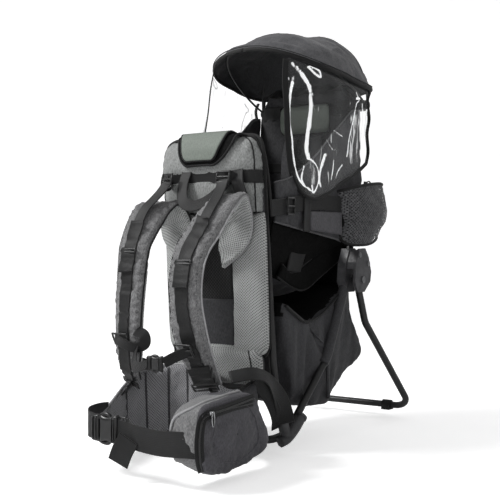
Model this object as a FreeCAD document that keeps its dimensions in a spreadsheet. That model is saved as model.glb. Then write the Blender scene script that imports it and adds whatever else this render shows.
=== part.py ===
"""Child carrier backpack: tube frame with a folding kickstand, padded harness, child seat and sun canopy.

Millimetres. +X is the wearer's left, +Y points back from the wearer to the child seat, +Z is up.
The origin is on the ground, under the middle of the front base bar.
"""
import FreeCAD, Part
import math
import os

import Sketcher
from FreeCAD import Placement, Rotation, Vector

X_AXIS = Vector(1, 0, 0)
Y_AXIS = Vector(0, 1, 0)
Z_AXIS = Vector(0, 0, 1)
SIDES = (("left", 1), ("right", -1))

# ---------------------------------------------------------------- driving dimensions

DIMENSIONS = {
    # tubes
    "tube_diameter": 16, "tube_wall": 1.5, "running_gap": 0.05, "base_height": 12,
    "foot_bend": 45, "arch_bend": 42, "panel_tilt": 3.15,
    "front_leg_half": 142, "kickstand_half": 162, "seat_tube_half": 142, "back_tube_half": 128,
    "kickstand_pivot_back": 272, "kickstand_pivot_up": 335, "kickstand_reach": 548,
    # hinge shells, pins and rivets
    "hinge_inner_thick": 21, "hinge_plate_thick": 5.5, "hinge_web_thick": 20.2,
    "pin_radius": 4, "pin_head_radius": 8, "pin_head_thick": 3,
    "rivet_radius": 3, "rivet_head_radius": 6, "rivet_head_thick": 2,
    # feet
    "socket_wide": 38, "socket_deep": 36, "socket_tall": 57, "tongue_thick": 6, "tongue_long": 50,
    "tongue_tall": 20, "foot_radius": 12, "front_foot_long": 44, "rear_foot_long": 22, "rear_foot_place": 98,
    # back panel stack
    "board_wide": 236, "board_tall": 436, "board_thick": 4, "board_corner": 40,
    "cover_wide": 250, "cover_tall": 448, "cover_thick": 7, "cover_corner": 45,
    "channel_wide": 84, "channel_tall": 285, "channel_thick": 4,
    "pad_tall": 285, "pad_round": 3.5, "lumbar_wide": 218, "lumbar_tall": 64, "lumbar_thick": 34,
    "pocket_tall": 128, "pocket_round": 6, "flap_wide": 124, "flap_thick": 4,
    # harness
    "shoulder_wide": 72, "shoulder_thick": 16, "shoulder_place": 88,
    "strap_wide": 30, "lifter_wide": 25, "webbing_thick": 2, "belt_webbing_wide": 50,
    "lock_wide": 40, "lock_tall": 30, "lock_thick": 4, "lock_slot": 8,
    "sternum_wide": 20, "belt_thick": 16,
    "pouch_deep": 44, "pouch_long": 156, "pouch_tall": 128, "pouch_round": 12,
    "zip_wide": 12, "zip_long": 140, "zip_thick": 1.5,
    "buckle_long": 40, "buckle_thick": 14, "buckle_tall": 60, "buckle_wall": 2.5,
    # child seat
    "backrest_wide": 206, "backrest_tall": 356, "backrest_thick": 12, "backrest_corner": 30,
    "headrest_wide": 134, "headrest_tall": 68, "headrest_thick": 16,
    "side_wall_thick": 5, "side_wall_turn": 3, "seat_wide": 150, "seat_thick": 18,
    "cockpit_wide": 196, "cockpit_tall": 220, "cockpit_thick": 10, "harness_wide": 25,
    "mesh_pocket_deep": 36, "bag_wide": 244,
    # canopy
    "canopy_half": 158, "canopy_thick": 3, "canopy_pivot_back": 353, "canopy_pivot_up": 738,
    "rib_radius": 2.5, "rib_eye_radius": 9, "rib_eye_thick": 3.5, "shield_thick": 1.5,
    "ring_radius": 11, "ring_wire": 2,
}

doc = FreeCAD.newDocument("child_carrier")
dims = doc.addObject("Spreadsheet::Sheet", "dims")
for row, (alias, value) in enumerate(DIMENSIONS.items(), start=1):
    dims.set(f"A{row}", str(value))
    dims.setAlias(f"A{row}", alias)
doc.recompute()


def size(alias):
    """A driving dimension, read back from its spreadsheet cell."""
    return float(getattr(dims, alias))


# ---------------------------------------------------------------- helpers: sketched bodies

def new_body(label):
    body = doc.addObject("PartDesign::Body", label)
    body.Label = label
    return body


def new_sketch(body, name, role):
    sketch = body.newObject("Sketcher::SketchObject", f"{body.Name}_{name}")
    plane = [item for item in body.Origin.OriginFeatures if item.Role == role][0]
    sketch.AttachmentSupport = (plane, [""])
    sketch.MapMode = "FlatFace"
    return sketch


def add_outline(sketch, points):
    """Closed polygon through (across, up) points of the sketch plane."""
    corners = [Vector(a, b, 0) for a, b in points]
    first = sketch.GeometryCount
    count = len(corners)
    for i in range(count):
        sketch.addGeometry(Part.LineSegment(corners[i], corners[(i + 1) % count]), False)
    for i in range(count):
        joint = Sketcher.Constraint("Coincident", first + i, 2, first + (i + 1) % count, 1)
        sketch.addConstraint(joint)


def add_rectangle(sketch, wide, tall):
    """Rectangle centred on the sketch origin, its sides bound to two cells."""
    half_wide = size(wide) / 2
    half_tall = size(tall) / 2
    add_outline(sketch, [(-half_wide, -half_tall), (half_wide, -half_tall), (half_wide, half_tall),
                         (-half_wide, half_tall)])
    for edge in (0, 2):
        sketch.addConstraint(Sketcher.Constraint("Horizontal", edge))
    for edge in (1, 3):
        sketch.addConstraint(Sketcher.Constraint("Vertical", edge))
    sketch.addConstraint(Sketcher.Constraint("Symmetric", 0, 1, 2, 1, -1, 1))
    for name, kind, edge, alias in (("wide", "DistanceX", 0, wide), ("tall", "DistanceY", 1, tall)):
        index = sketch.addConstraint(Sketcher.Constraint(kind, edge, 1, edge, 2, size(alias)))
        sketch.renameConstraint(index, name)
        sketch.setExpression(f"Constraints.{name}", f"dims.{alias}")


def add_circle(sketch, across, up, radius_expression):
    """Circle fixed at (across, up) whose radius follows an expression."""
    index = sketch.addGeometry(Part.Circle(Vector(across, up, 0), Z_AXIS, size("pin_radius")), False)
    sketch.addConstraint(Sketcher.Constraint("DistanceX", -1, 1, index, 3, across))
    sketch.addConstraint(Sketcher.Constraint("DistanceY", -1, 1, index, 3, up))
    radius = sketch.addConstraint(Sketcher.Constraint("Radius", index, size("pin_radius")))
    sketch.setExpression(f"Constraints[{radius}]", radius_expression)


def add_pad(body, sketch, alias, kind="One side", flip=False):
    pad = body.newObject("PartDesign::Pad", f"{sketch.Name}_pad")
    pad.Profile = sketch
    pad.setExpression("Length", f"dims.{alias}")
    pad.SideType = kind
    pad.Reversed = flip
    return pad


def round_along(body, feature, direction, alias):
    """Rounds every straight edge of a body that runs along a direction."""
    doc.recompute()
    names = []
    for number, edge in enumerate(feature.Shape.Edges, start=1):
        along = edge.Vertexes[-1].Point - edge.Vertexes[0].Point
        if edge.Curve.TypeId == "Part::GeomLine" and along.normalize().cross(direction).Length < 0.01:
            names.append(f"Edge{number}")
    rounding = body.newObject("PartDesign::Fillet", f"{body.Name}_round_{alias}")
    rounding.Base = (feature, names)
    rounding.setExpression("Radius", f"dims.{alias}")
    doc.recompute()
    return rounding


def drill(body, name, role, circles, alias_depth="cover_wide"):
    """Through holes at (across, up, radius expression), square to an origin plane."""
    sketch = new_sketch(body, name, role)
    for across, up, radius in circles:
        add_circle(sketch, across, up, radius)
    doc.recompute()
    before = body.Shape.Volume
    pocket = body.newObject("PartDesign::Pocket", f"{body.Name}_{name}_cut")
    pocket.Profile = sketch
    pocket.setExpression("Length", f"dims.{alias_depth}")
    pocket.SideType = "Symmetric"
    doc.recompute()
    if body.Shape.Volume >= before:
        raise RuntimeError(f"{body.Label}: {name} cut nothing")
    return pocket


def slab(label, wide, tall, thick, corner, placement):
    """Upright rounded plate: wide along X, tall along Z, thick towards -Y from its back face."""
    body = new_body(label)
    sketch = new_sketch(body, "face", "XZ_Plane")
    add_rectangle(sketch, wide, tall)
    feature = add_pad(body, sketch, thick)
    if corner:
        feature = round_along(body, feature, Y_AXIS, corner)
    body.Placement = placement
    return body


def side_profile(label, points, alias, kind="Symmetric", flip=False, corner=None):
    """A (back, up) outline given a thickness along X."""
    body = new_body(label)
    sketch = new_sketch(body, "outline", "YZ_Plane")
    add_outline(sketch, points)
    feature = add_pad(body, sketch, alias, kind, flip)
    if corner:
        round_along(body, feature, X_AXIS, corner)
    return body


# ---------------------------------------------------------------- helpers: bent and lofted shapes

def rounded_path(points, bend):
    """Wire through points with each inner corner turned into an arc of the bend radius."""
    edges = []
    start = points[0]
    for before, corner, after in zip(points, points[1:], points[2:]):
        back = (before - corner).normalize()
        ahead = (after - corner).normalize()
        half_angle = back.getAngle(ahead) / 2
        reach = bend / math.tan(half_angle)
        enter = corner + back * reach
        leave = corner + ahead * reach
        inward = (back + ahead).normalize()
        middle = corner + inward * (bend / math.sin(half_angle) - bend)
        edges.append(Part.makeLine(start, enter))
        edges.append(Part.Arc(enter, middle, leave).toShape())
        start = leave
    edges.append(Part.makeLine(start, points[-1]))
    return Part.Wire(edges)


def sweep_round(path, radius):
    """Round bar of the given radius along a wire."""
    first = path.Edges[0]
    tangent = first.tangentAt(first.FirstParameter)
    ring = Part.Wire(Part.makeCircle(radius, first.valueAt(first.FirstParameter), tangent))
    return path.makePipeShell([ring], True, False)


def tube_path(points, bend):
    return rounded_path([Vector(*point) for point in points], size(bend))


def hollow_tube(path):
    outer = sweep_round(path, size("tube_diameter") / 2)
    return outer.cut(sweep_round(path, size("tube_diameter") / 2 - size("tube_wall")))


def tube_clearance(path):
    """The space a tube needs inside a moulding that grips it."""
    return sweep_round(path, size("tube_diameter") / 2 + size("running_gap"))


def both_sides(half):
    """A half path on the left mirrored into one path from left to right."""
    return half + [(-x, y, z) for x, y, z in reversed(half)]


def shape_object(label, shape, placement=None):
    part = doc.addObject("Part::Feature", label)
    part.Label = label
    part.Shape = shape
    if placement:
        part.Placement = placement
    return part


def band(path, widths, thickness, across=None, facing=None, samples=14):
    """Flat band lofted along a smooth path.

    across is the direction of its width; facing, used instead, is the way its flat face looks.
    widths holds the width at the start and at the end.
    """
    spine = Part.BSplineCurve()
    spine.interpolate([Vector(*point) for point in path])
    sections = []
    for i in range(samples + 1):
        share = i / samples
        at = spine.FirstParameter + (spine.LastParameter - spine.FirstParameter) * share
        tangent = spine.tangent(at)[0]
        if across:
            flat = Vector(*across)
            wide = (flat - tangent * flat.dot(tangent)).normalize()
        else:
            wide = tangent.cross(Vector(*facing)).normalize()
        out = wide.cross(tangent).normalize() * (thickness / 2)
        half = wide * ((widths[0] + (widths[1] - widths[0]) * share) / 2)
        centre = spine.value(at)
        corners = [centre - half - out, centre + half - out, centre + half + out, centre - half + out]
        sections.append(Part.makePolygon(corners + corners[:1]))
    return Part.makeLoft(sections, True, True)


def mirrored(shape):
    return shape.mirror(Vector(0, 0, 0), X_AXIS)


def paired(shape):
    """A left shape and its mirror image as one group of two solids."""
    return Part.makeCompound([shape, mirrored(shape)])


# ---------------------------------------------------------------- helpers: plain primitives

def cylinder_x(name, radius, length, x, y, z):
    """Cylinder along +X from x; radius and length are expressions."""
    part = doc.addObject("Part::Cylinder", name)
    part.setExpression("Radius", radius)
    part.setExpression("Height", length)
    part.Placement = Placement(Vector(x, y, z), Rotation(Y_AXIS, 90))
    return part


def box(name, length, width, height, x, y, z):
    """Box centred on a point; length, width and height are expressions."""
    part = doc.addObject("Part::Box", name)
    for side, expression in (("Length", length), ("Width", width), ("Height", height)):
        part.setExpression(side, expression)
    doc.recompute()
    corner = Vector(part.Length.Value, part.Width.Value, part.Height.Value) / 2
    part.Placement = Placement(Vector(x, y, z) - corner, Rotation())
    return part


def cut(label, base, tool):
    part = doc.addObject("Part::Cut", label)
    part.Label = label
    part.Base = base
    part.Tool = tool
    return part


def fuse(label, pieces):
    part = doc.addObject("Part::MultiFuse", label)
    part.Label = label
    part.Shapes = pieces
    return part


def group(label, pieces):
    part = doc.addObject("Part::Compound", label)
    part.Label = label
    part.Links = pieces
    return part


# ---------------------------------------------------------------- frame

HALF_LEG = size("front_leg_half")
HALF_KICK = size("kickstand_half")
BASE_UP = size("base_height")
PIVOT = (size("kickstand_pivot_back"), size("kickstand_pivot_up"))
PANEL = Placement(Vector(0, 8, 20), Rotation(X_AXIS, size("panel_tilt")))


def on_panel(x, forward, up):
    """Placement in the tilted frame of the back tube; forward is towards the wearer."""
    return PANEL * Placement(Vector(x, -forward, up), Rotation())


def panel_point(x, forward, up):
    point = on_panel(x, forward, up).Base
    return (point.x, point.y, point.z)


BACK_TUBE = tube_path(both_sides([panel_point(*spot) for spot in (
    (size("back_tube_half"), 0, 20), (118, 0, 150), (106, 0, 540), (98, 0, 616))]), "arch_bend")
FRONT_LEG = tube_path(both_sides([
    (HALF_LEG, 255, 325), (HALF_LEG, 171, 164), (HALF_LEG, 0, BASE_UP)]), "foot_bend")
SEAT_TUBE = tube_path(both_sides([
    (size("seat_tube_half"), 268, 372), (134, 316, 500), (121, 345, 640), (117, 356, 762)]), "arch_bend")
KICKSTAND = tube_path(both_sides([
    (HALF_KICK, 267.5, 346), (HALF_KICK, 311, 237), (HALF_KICK, size("kickstand_reach"), BASE_UP)]),
    "foot_bend")


def build_tubes():
    shape_object("back_frame_tube", hollow_tube(BACK_TUBE))
    shape_object("front_leg_tube", hollow_tube(FRONT_LEG))
    shape_object("rear_seat_tube", hollow_tube(SEAT_TUBE))
    bore = Part.makeCylinder(size("pin_radius") + size("running_gap"), 2 * HALF_KICK + 40,
                             Vector(-HALF_KICK - 20, *PIVOT), X_AXIS)
    shape_object("kickstand_tube", hollow_tube(KICKSTAND).cut(bore))


# (back, up) outlines of the moulded knuckle that joins front leg, seat tube and kickstand
KNUCKLE = [(237, 330), (250, 307), (280, 307), (308, 330), (312, 352), (300, 385), (284, 405), (258, 404),
           (242, 372)]
KNUCKLE_WEB = [(244, 359), (303, 359), (298, 383), (283, 402), (260, 401), (246, 374)]
RIVET_SPOTS = ((258, 390), (297, 370))
INNER_FACE = 131
WEB_FACE = 152.3


def build_knuckles():
    pin_hole = (*PIVOT, "dims.pin_radius + dims.running_gap")
    rivet_holes = [(*spot, "dims.rivet_radius + dims.running_gap") for spot in RIVET_SPOTS]
    pins = []
    rivets = []
    for side, sign in SIDES:
        turned = sign < 0
        inner = side_profile(f"knuckle_core_{side}", KNUCKLE, "hinge_inner_thick", "One side", turned)
        drill(inner, "holes", "YZ_Plane", [pin_hole, *rivet_holes])
        inner.Placement = Placement(Vector(sign * INNER_FACE, 0, 0), Rotation())
        for name, path in (("leg", FRONT_LEG), ("seat", SEAT_TUBE)):
            space = shape_object(f"{name}_space_{side}", tube_clearance(path))
            inner = cut(f"knuckle_{name}_{side}", inner, space)
        inner.Label = f"hinge_inner_{side}"

        outer = side_profile(f"hinge_outer_{side}", KNUCKLE, "hinge_plate_thick", "One side", turned)
        web = new_sketch(outer, "web", "YZ_Plane")
        add_outline(web, KNUCKLE_WEB)
        add_pad(outer, web, "hinge_web_thick", "One side", not turned)
        drill(outer, "holes", "YZ_Plane", [pin_hole, *rivet_holes])
        outer_face = WEB_FACE + size("hinge_web_thick")
        outer.Placement = Placement(Vector(sign * outer_face, 0, 0), Rotation())

        plate_face = outer_face + size("hinge_plate_thick") + size("running_gap")
        shank = plate_face - INNER_FACE - 1
        for pieces, label, spots in ((pins, "pin", (PIVOT,)), (rivets, "rivet", RIVET_SPOTS)):
            for number, spot in enumerate(spots):
                name = f"{label}_{side}_{number}"
                start = INNER_FACE + 1 if sign > 0 else -plate_face
                stem = cylinder_x(f"{name}_stem", f"dims.{label}_radius", f"{shank}", start, *spot)
                head_start = plate_face if sign > 0 else -plate_face - size(f"{label}_head_thick")
                head = cylinder_x(f"{name}_head", f"dims.{label}_head_radius",
                                  f"dims.{label}_head_thick", head_start, *spot)
                pieces.append(fuse(name, [stem, head]))
    group("kickstand_pins", pins)
    group("hinge_rivets", rivets)


def build_feet():
    sockets = []
    for side, sign in SIDES:
        block = box(f"socket_block_{side}", "dims.socket_wide", "dims.socket_deep", "dims.socket_tall",
                    sign * 133, 4, 31)
        tongue = box(f"socket_tongue_{side}", "dims.tongue_thick", "dims.tongue_long", "dims.tongue_tall",
                     sign * 121, 44, 17)
        slot = box(f"strap_slot_{side}", "dims.tongue_thick * 2", "dims.tongue_long / 4",
                   "dims.tongue_tall / 2", sign * 121, 57, 17)
        moulding = cut(f"socket_slotted_{side}", fuse(f"socket_body_{side}", [block, tongue]), slot)
        for name, path in (("leg", FRONT_LEG), ("back", BACK_TUBE)):
            space = shape_object(f"socket_{name}_space_{side}", tube_clearance(path))
            moulding = cut(f"socket_{name}_{side}", moulding, space)
        sockets.append(moulding)
    group("foot_sockets", sockets)

    front = rubber_foot("front_foot", "dims.front_foot_long", 0, 0, FRONT_LEG)
    front.Label = "front_rubber_foot"
    place = size("rear_foot_place")
    rear = [rubber_foot(f"rear_foot_{side}", "dims.rear_foot_long", sign * place, size("kickstand_reach"),
                        KICKSTAND) for side, sign in SIDES]
    group("kickstand_rubber_feet", rear)


def rubber_foot(name, length, x, y, path):
    """Sleeve round a base bar with a flat sole on the ground."""
    sleeve = cylinder_x(f"{name}_sleeve", "dims.foot_radius", length, 0, y, BASE_UP)
    doc.recompute()
    sleeve.Placement.Base = Vector(x - sleeve.Height.Value / 2, y, BASE_UP)
    sole = box(f"{name}_sole", length, "dims.foot_radius * 2", "dims.foot_radius", x, y, BASE_UP / 2)
    space = shape_object(f"{name}_space", tube_clearance(path))
    return cut(f"{name}_cut", fuse(f"{name}_body", [sleeve, sole]), space)


# ---------------------------------------------------------------- back panel

# plan outline of a ventilated back pad: (across, forward), thick beside the spine and thin at the flank
PAD_PLAN = [(47, 23), (47, 45), (57, 50), (98, 44), (130, 31), (133, 23)]
POCKET_PLAN = [(118, 23), (118, 34), (92, 56), (-92, 56), (-118, 34), (-118, 23)]
PAD_UP = 170
POCKET_UP = 481
# (forward, up) on the panel of the pocket lid, from its seam over the top and down the front
FLAP_LINE = [(22, 616), (44, 618), (62, 606), (63, 564)]
HAUL_LINE = [(-34, -88, 560), (-24, -104, 524), (0, -116, 502), (24, -104, 524), (34, -88, 560)]


def prism_on_panel(label, plan, alias, up, rounding=None):
    """A plan outline on the tilted panel, raised by a height bound to a cell."""
    body = new_body(label)
    sketch = new_sketch(body, "plan", "XY_Plane")
    add_outline(sketch, [(across, -forward) for across, forward in plan])
    feature = add_pad(body, sketch, alias)
    if rounding:
        round_along(body, feature, Z_AXIS, rounding)
    body.Placement = on_panel(0, 0, up)
    return body


def build_back_panel():
    slab("back_board", "board_wide", "board_tall", "board_thick", "board_corner", on_panel(0, 10, 385))
    slab("back_cover", "cover_wide", "cover_tall", "cover_thick", "cover_corner", on_panel(0, 15, 385))
    slab("channel_mesh", "channel_wide", "channel_tall", "channel_thick", None, on_panel(0, 22.5, 313))
    for side, sign in SIDES:
        plan = [(sign * across, forward) for across, forward in PAD_PLAN]
        prism_on_panel(f"mesh_pad_{side}", plan, "pad_tall", PAD_UP, "pad_round")
    slab("lumbar_pad", "lumbar_wide", "lumbar_tall", "lumbar_thick", "pouch_round", on_panel(0, 18, 128))
    prism_on_panel("upper_pocket", POCKET_PLAN, "pocket_tall", POCKET_UP, "pocket_round")
    flap_path = [panel_point(0, forward, up) for forward, up in FLAP_LINE]
    flap = band(flap_path, (size("flap_wide"),) * 2, size("flap_thick"), across=(1, 0, 0))
    shape_object("pocket_flap", flap)
    loop = band(HAUL_LINE, (size("lifter_wide"),) * 2, size("webbing_thick"), facing=(0, -1, 0))
    shape_object("haul_loop", loop)


# ---------------------------------------------------------------- shoulder harness

# (back, up) centre line of a shoulder pad: up the back panel from its root, over, and down to its lower end
SHOULDER_LINE = [(-73, 375), (-74, 430), (-81, 466), (-102, 485), (-130, 483), (-160, 462), (-205, 430),
                 (-236, 392), (-250, 350), (-252, 300), (-246, 245), (-224, 202), (-186, 170), (-136, 147)]
STRAP_START = 5
STRAP_LIFT = 1.2
SLOT_STEP = 0.85
# (across, back, up, lean in degrees) of the two webbing buckles of one shoulder strap
LIFTER_LOCK = (71, -110, 552, 25)
STRAP_LOCK = (88, -266, 386, 17)
LIFTER_LINE = [(70, -92, 566), (72, -104, 548), (80, -134, 516), (88, -168, 478)]


def shoulder_offset(distance, first, last):
    """Part of the shoulder line moved outwards, away from the wearer."""
    line = SHOULDER_LINE[first:last]
    moved = []
    for i, (back, up) in enumerate(line):
        before = line[max(i - 1, 0)]
        after = line[min(i + 1, len(line) - 1)]
        run = Vector(0, after[0] - before[0], after[1] - before[1]).normalize()
        out = run.cross(X_AXIS)
        moved.append((size("shoulder_place"), back + out.y * distance, up + out.z * distance))
    return moved


def ladder_lock(name, sign, spot):
    """Plastic webbing buckle: a plate with two slots, leaning about X."""
    across, back, up, lean = spot
    plate = box(f"{name}_plate", "dims.lock_wide", "dims.lock_thick", "dims.lock_tall", 0, 0, 0)
    slots = [box(f"{name}_slot_{number}", "dims.lock_wide - dims.lock_slot", "dims.lock_thick * 2",
                 "dims.lock_slot", 0, 0, step * size("lock_slot") * SLOT_STEP)
             for number, step in enumerate((-1, 1))]
    lock = cut(name, plate, fuse(f"{name}_slots", slots))
    lock.Placement = Placement(Vector(sign * across, back, up), Rotation(X_AXIS, lean))
    return lock


def build_shoulder_harness():
    pad_line = shoulder_offset(0, 0, len(SHOULDER_LINE))
    pad = band(pad_line, (size("shoulder_wide"), size("shoulder_wide")), size("shoulder_thick"),
               across=(1, 0, 0), samples=20)
    shape_object("shoulder_pad_left", pad)
    shape_object("shoulder_pad_right", mirrored(pad))
    proud = size("shoulder_thick") / 2 + size("webbing_thick") / 2 + STRAP_LIFT
    webbing = band(shoulder_offset(proud, STRAP_START, len(SHOULDER_LINE)), (size("strap_wide"),) * 2,
                   size("webbing_thick"), across=(1, 0, 0), samples=18)
    shape_object("shoulder_webbings", paired(webbing))
    lifter = band(LIFTER_LINE, (size("lifter_wide"),) * 2, size("webbing_thick"), across=(1, 0, 0))
    shape_object("load_lifters", paired(lifter))
    locks = []
    for side, sign in SIDES:
        locks.append(ladder_lock(f"lifter_lock_{side}", sign, LIFTER_LOCK))
        locks.append(ladder_lock(f"shoulder_lock_{side}", sign, STRAP_LOCK))
    group("ladder_locks", locks)


# (across, back, up, lean in degrees) of a chest strap slider, square to the shoulder line behind it
STERNUM_SLIDER = (88, -250.4, 213.7, 27)
STERNUM_FACING = (0, -0.89, -0.455)
STERNUM_BUCKLE = (48, -281, 192)
STERNUM_SHARE = 0.55
STERNUM_NEAR = [(84, -255.4, 211.2), (74, -264, 205), (63, -278, 195)]
STERNUM_FAR = [(-84, -255.4, 211.2), (-62, -269, 198), (-30, -282, 188), (2, -283, 189)]


def build_sternum_strap():
    across, back, up, lean = STERNUM_SLIDER
    sliders = []
    for side, sign in SIDES:
        plate = box(f"sternum_slider_{side}", "dims.strap_wide + 8", "dims.lock_thick", "dims.lock_tall",
                    0, 0, 0)
        turned = Placement(Vector(sign * across, back, up), Rotation(X_AXIS, lean))
        plate.Placement = turned * plate.Placement
        sliders.append(plate)
    group("sternum_sliders", sliders)
    webbing = [band(line, (size("sternum_wide"),) * 2, size("webbing_thick"), facing=STERNUM_FACING)
               for line in (STERNUM_NEAR, STERNUM_FAR)]
    shape_object("sternum_webbing", Part.makeCompound(webbing))
    build_buckle("sternum", STERNUM_SHARE, *STERNUM_BUCKLE)


def build_buckle(name, share, x, y, z):
    """Side-release buckle: a hollow receiver and a two-pronged plug that slides out along -X."""
    long = f"dims.buckle_long * {share}"
    thick = f"dims.buckle_thick * {share}"
    tall = f"dims.buckle_tall * {share}"
    wall = size("buckle_wall")
    length = size("buckle_long") * share
    height = size("buckle_tall") * share
    receiver = box(f"{name}_receiver_block", long, thick, tall, x, y, z)
    cavity = box(f"{name}_receiver_cavity", long, f"{thick} - 2 * {wall}", f"{tall} - 2 * {wall}",
                 x - 2 * wall, y, z)
    cut(f"{name}_buckle_female", receiver, cavity)
    entry = x - length / 2
    base_long = length * 0.4
    base = box(f"{name}_plug_base", f"{base_long}", thick, tall, entry - base_long / 2 - 0.5, y, z)
    prongs = [box(f"{name}_prong_{number}", f"{length * 0.8}", f"{thick} - 2 * {wall} - 1",
                  f"{height * 0.16}", entry + length * 0.3 - 0.5, y, z + step * height * 0.3)
              for number, step in enumerate((-1, 1))]
    fuse(f"{name}_buckle_male", [base, *prongs])


# ---------------------------------------------------------------- hip belt

BELT_UP = 92
LEFT_WING = [(114, -68, BELT_UP), (135, -100, BELT_UP), (146, -160, BELT_UP - 4), (142, -240, BELT_UP - 12),
             (124, -316, BELT_UP - 20)]
RIGHT_WING = [(-114, -68, BELT_UP), (-136, -100, BELT_UP), (-144, -150, BELT_UP - 6),
              (-136, -200, BELT_UP - 12), (-114, -252, BELT_UP - 16)]
WING_WIDTHS = (116, 66)
POUCH_CENTRE = (178, -262, 72)
ZIP_DROP = 14
ZIP_INSET = 12
PULL_DROP = 10
BUCKLE_X = -22
BUCKLE_BACK = -334
BUCKLE_UP = 72
WEBBING_LEFT = [(112, -332, BUCKLE_UP + 6), (90, -338, BUCKLE_UP + 2), (40, -336, BUCKLE_UP),
                (0, BUCKLE_BACK, BUCKLE_UP)]
WEBBING_RIGHT = [(-60, BUCKLE_BACK, BUCKLE_UP), (-84, -328, BUCKLE_UP + 2), (-106, -300, BUCKLE_UP + 6),
                 (-114, -268, BUCKLE_UP + 8)]
STABILISER = [(152, -84, 124), (150, -56, 104), (142, -30, 76), (132, -18, 44)]


def build_hip_belt():
    for label, line in (("hip_wing_left", LEFT_WING), ("hip_wing_right", RIGHT_WING)):
        shape_object(label, band(line, WING_WIDTHS, size("belt_thick"), across=(0, 0, 1)))
    for label, line in (("hip_webbing_left", WEBBING_LEFT), ("hip_webbing_right", WEBBING_RIGHT)):
        webbing = band(line, (size("belt_webbing_wide"),) * 2, size("webbing_thick"), across=(0, 0, 1))
        shape_object(label, webbing)
    build_buckle("hip", 1, BUCKLE_X, BUCKLE_BACK, BUCKLE_UP)
    build_pouch()
    stabiliser = band(STABILISER, (size("lifter_wide"),) * 2, size("webbing_thick"), facing=(0, -1, 0.3))
    shape_object("stabiliser_webbings", paired(stabiliser))


def build_pouch():
    x, y, z = POUCH_CENTRE
    pouch = new_body("hip_pouch")
    sketch = new_sketch(pouch, "side", "YZ_Plane")
    add_rectangle(sketch, "pouch_long", "pouch_tall")
    feature = add_pad(pouch, sketch, "pouch_deep", "Symmetric")
    round_along(pouch, feature, X_AXIS, "pouch_round")
    pouch.Placement = Placement(Vector(x, y, z), Rotation())
    face = x + size("pouch_deep") / 2
    zip_up = z + size("pouch_tall") / 2 - ZIP_DROP
    slider_back = y - size("zip_long") / 2 + ZIP_INSET
    tape = box("zipper_tape", "dims.zip_thick", "dims.zip_long", "dims.zip_wide", face + 1.2, y, zip_up)
    tape.Label = "zipper_tape"
    slider = box("zipper_slider", "dims.zip_wide / 4", "dims.zip_wide", "dims.zip_wide * 0.7", face + 4,
                 slider_back, zip_up)
    slider.Label = "zipper_slider"
    pull = box("zipper_pull", "dims.zip_thick", "dims.zip_wide / 2", "dims.zip_wide * 2", face + 7,
               slider_back, zip_up - PULL_DROP)
    pull.Label = "zipper_pull"


# ---------------------------------------------------------------- child seat and bags

SIDE_WALL = [(0, 445), (68, 440), (245, 424), (272, 424), (304, 505), (329, 640), (329, 716), (296, 720),
             (220, 662), (146, 604), (62, 556), (0, 540)]
MESH_POCKET = [(252, 414), (290, 412), (380, 424), (387, 470), (384, 552), (346, 548), (300, 538), (252, 524)]
SEAT_LINE = [(0, 112, 366), (0, 150, 330), (0, 200, 315), (0, 250, 330), (0, 304, 388)]
HARNESS_LINE = [(44, 314, 664), (42, 312, 560), (26, 304, 456)]
CROTCH_LINE = [(0, 284, 418), (0, 272, 380)]
WALL_FACE = 120
POCKET_FACE = 152
RING_PLACE = (138, 162, 490)
STORAGE_BAG = [(18, 290), (92, 253), (262, 308), (300, 300), (376, 167), (200, 70), (53, 99)]


def build_child_seat():
    slab("child_backrest", "backrest_wide", "backrest_tall", "backrest_thick", "backrest_corner",
         Placement(Vector(0, 331, 579), Rotation()))
    slab("headrest_pad", "headrest_wide", "headrest_tall", "headrest_thick", "pouch_round",
         Placement(Vector(0, 318, 710), Rotation()))
    seat = band(SEAT_LINE, (size("seat_wide"),) * 2, size("seat_thick"), across=(1, 0, 0))
    shape_object("seat_pan", seat)
    slab("cockpit_panel", "cockpit_wide", "cockpit_tall", "cockpit_thick", "pouch_round",
         on_panel(0, -20, 410))
    strap = band(HARNESS_LINE, (size("harness_wide"),) * 2, size("webbing_thick"), across=(1, 0, 0))
    crotch = band(CROTCH_LINE, (size("harness_wide"),) * 2, size("webbing_thick"), across=(1, 0, 0))
    shape_object("child_harness", Part.makeCompound([strap, mirrored(strap), crotch]))
    for side, sign in SIDES:
        wall = side_profile(f"side_wall_{side}", SIDE_WALL, "side_wall_thick", "One side", sign < 0)
        turn = Rotation(Z_AXIS, -sign * size("side_wall_turn"))
        wall.Placement = Placement(Vector(sign * WALL_FACE, 0, 0), turn)
        pocket = side_profile(f"mesh_pocket_{side}", MESH_POCKET, "mesh_pocket_deep", "One side", sign < 0)
        pocket.Placement = Placement(Vector(sign * POCKET_FACE, 0, 0), Rotation())
        ring = doc.addObject("Part::Torus", f"side_ring_{side}")
        ring.setExpression("Radius1", "dims.ring_radius")
        ring.setExpression("Radius2", "dims.ring_wire")
        across, back, up = RING_PLACE
        ring.Placement = Placement(Vector(sign * across, back, up), Rotation(Y_AXIS, 90))
        ring.Label = f"side_ring_{side}"
    side_profile("storage_bag", STORAGE_BAG, "bag_wide")


# ---------------------------------------------------------------- canopy

CANOPY_PIVOT = (size("canopy_pivot_back"), size("canopy_pivot_up"))
# (degrees above forward, reach of the crown from the pivot) of each arch of the canopy fan
CANOPY_FAN = [(17, 304), (21.5, 304), (28, 281), (36, 252), (46, 222), (61, 186), (83, 170), (104, 172),
              (122, 164), (136, 138), (148, 100), (157, 68)]
FAN_START = 26
RIB_START = 8
RIB_MARGIN = 12
ARCH_STEPS = 22
# how square the sides and the crown of an arch are; 1 for both is an ellipse
ARCH_SIDE = 0.72
ARCH_CROWN = 0.86
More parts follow.
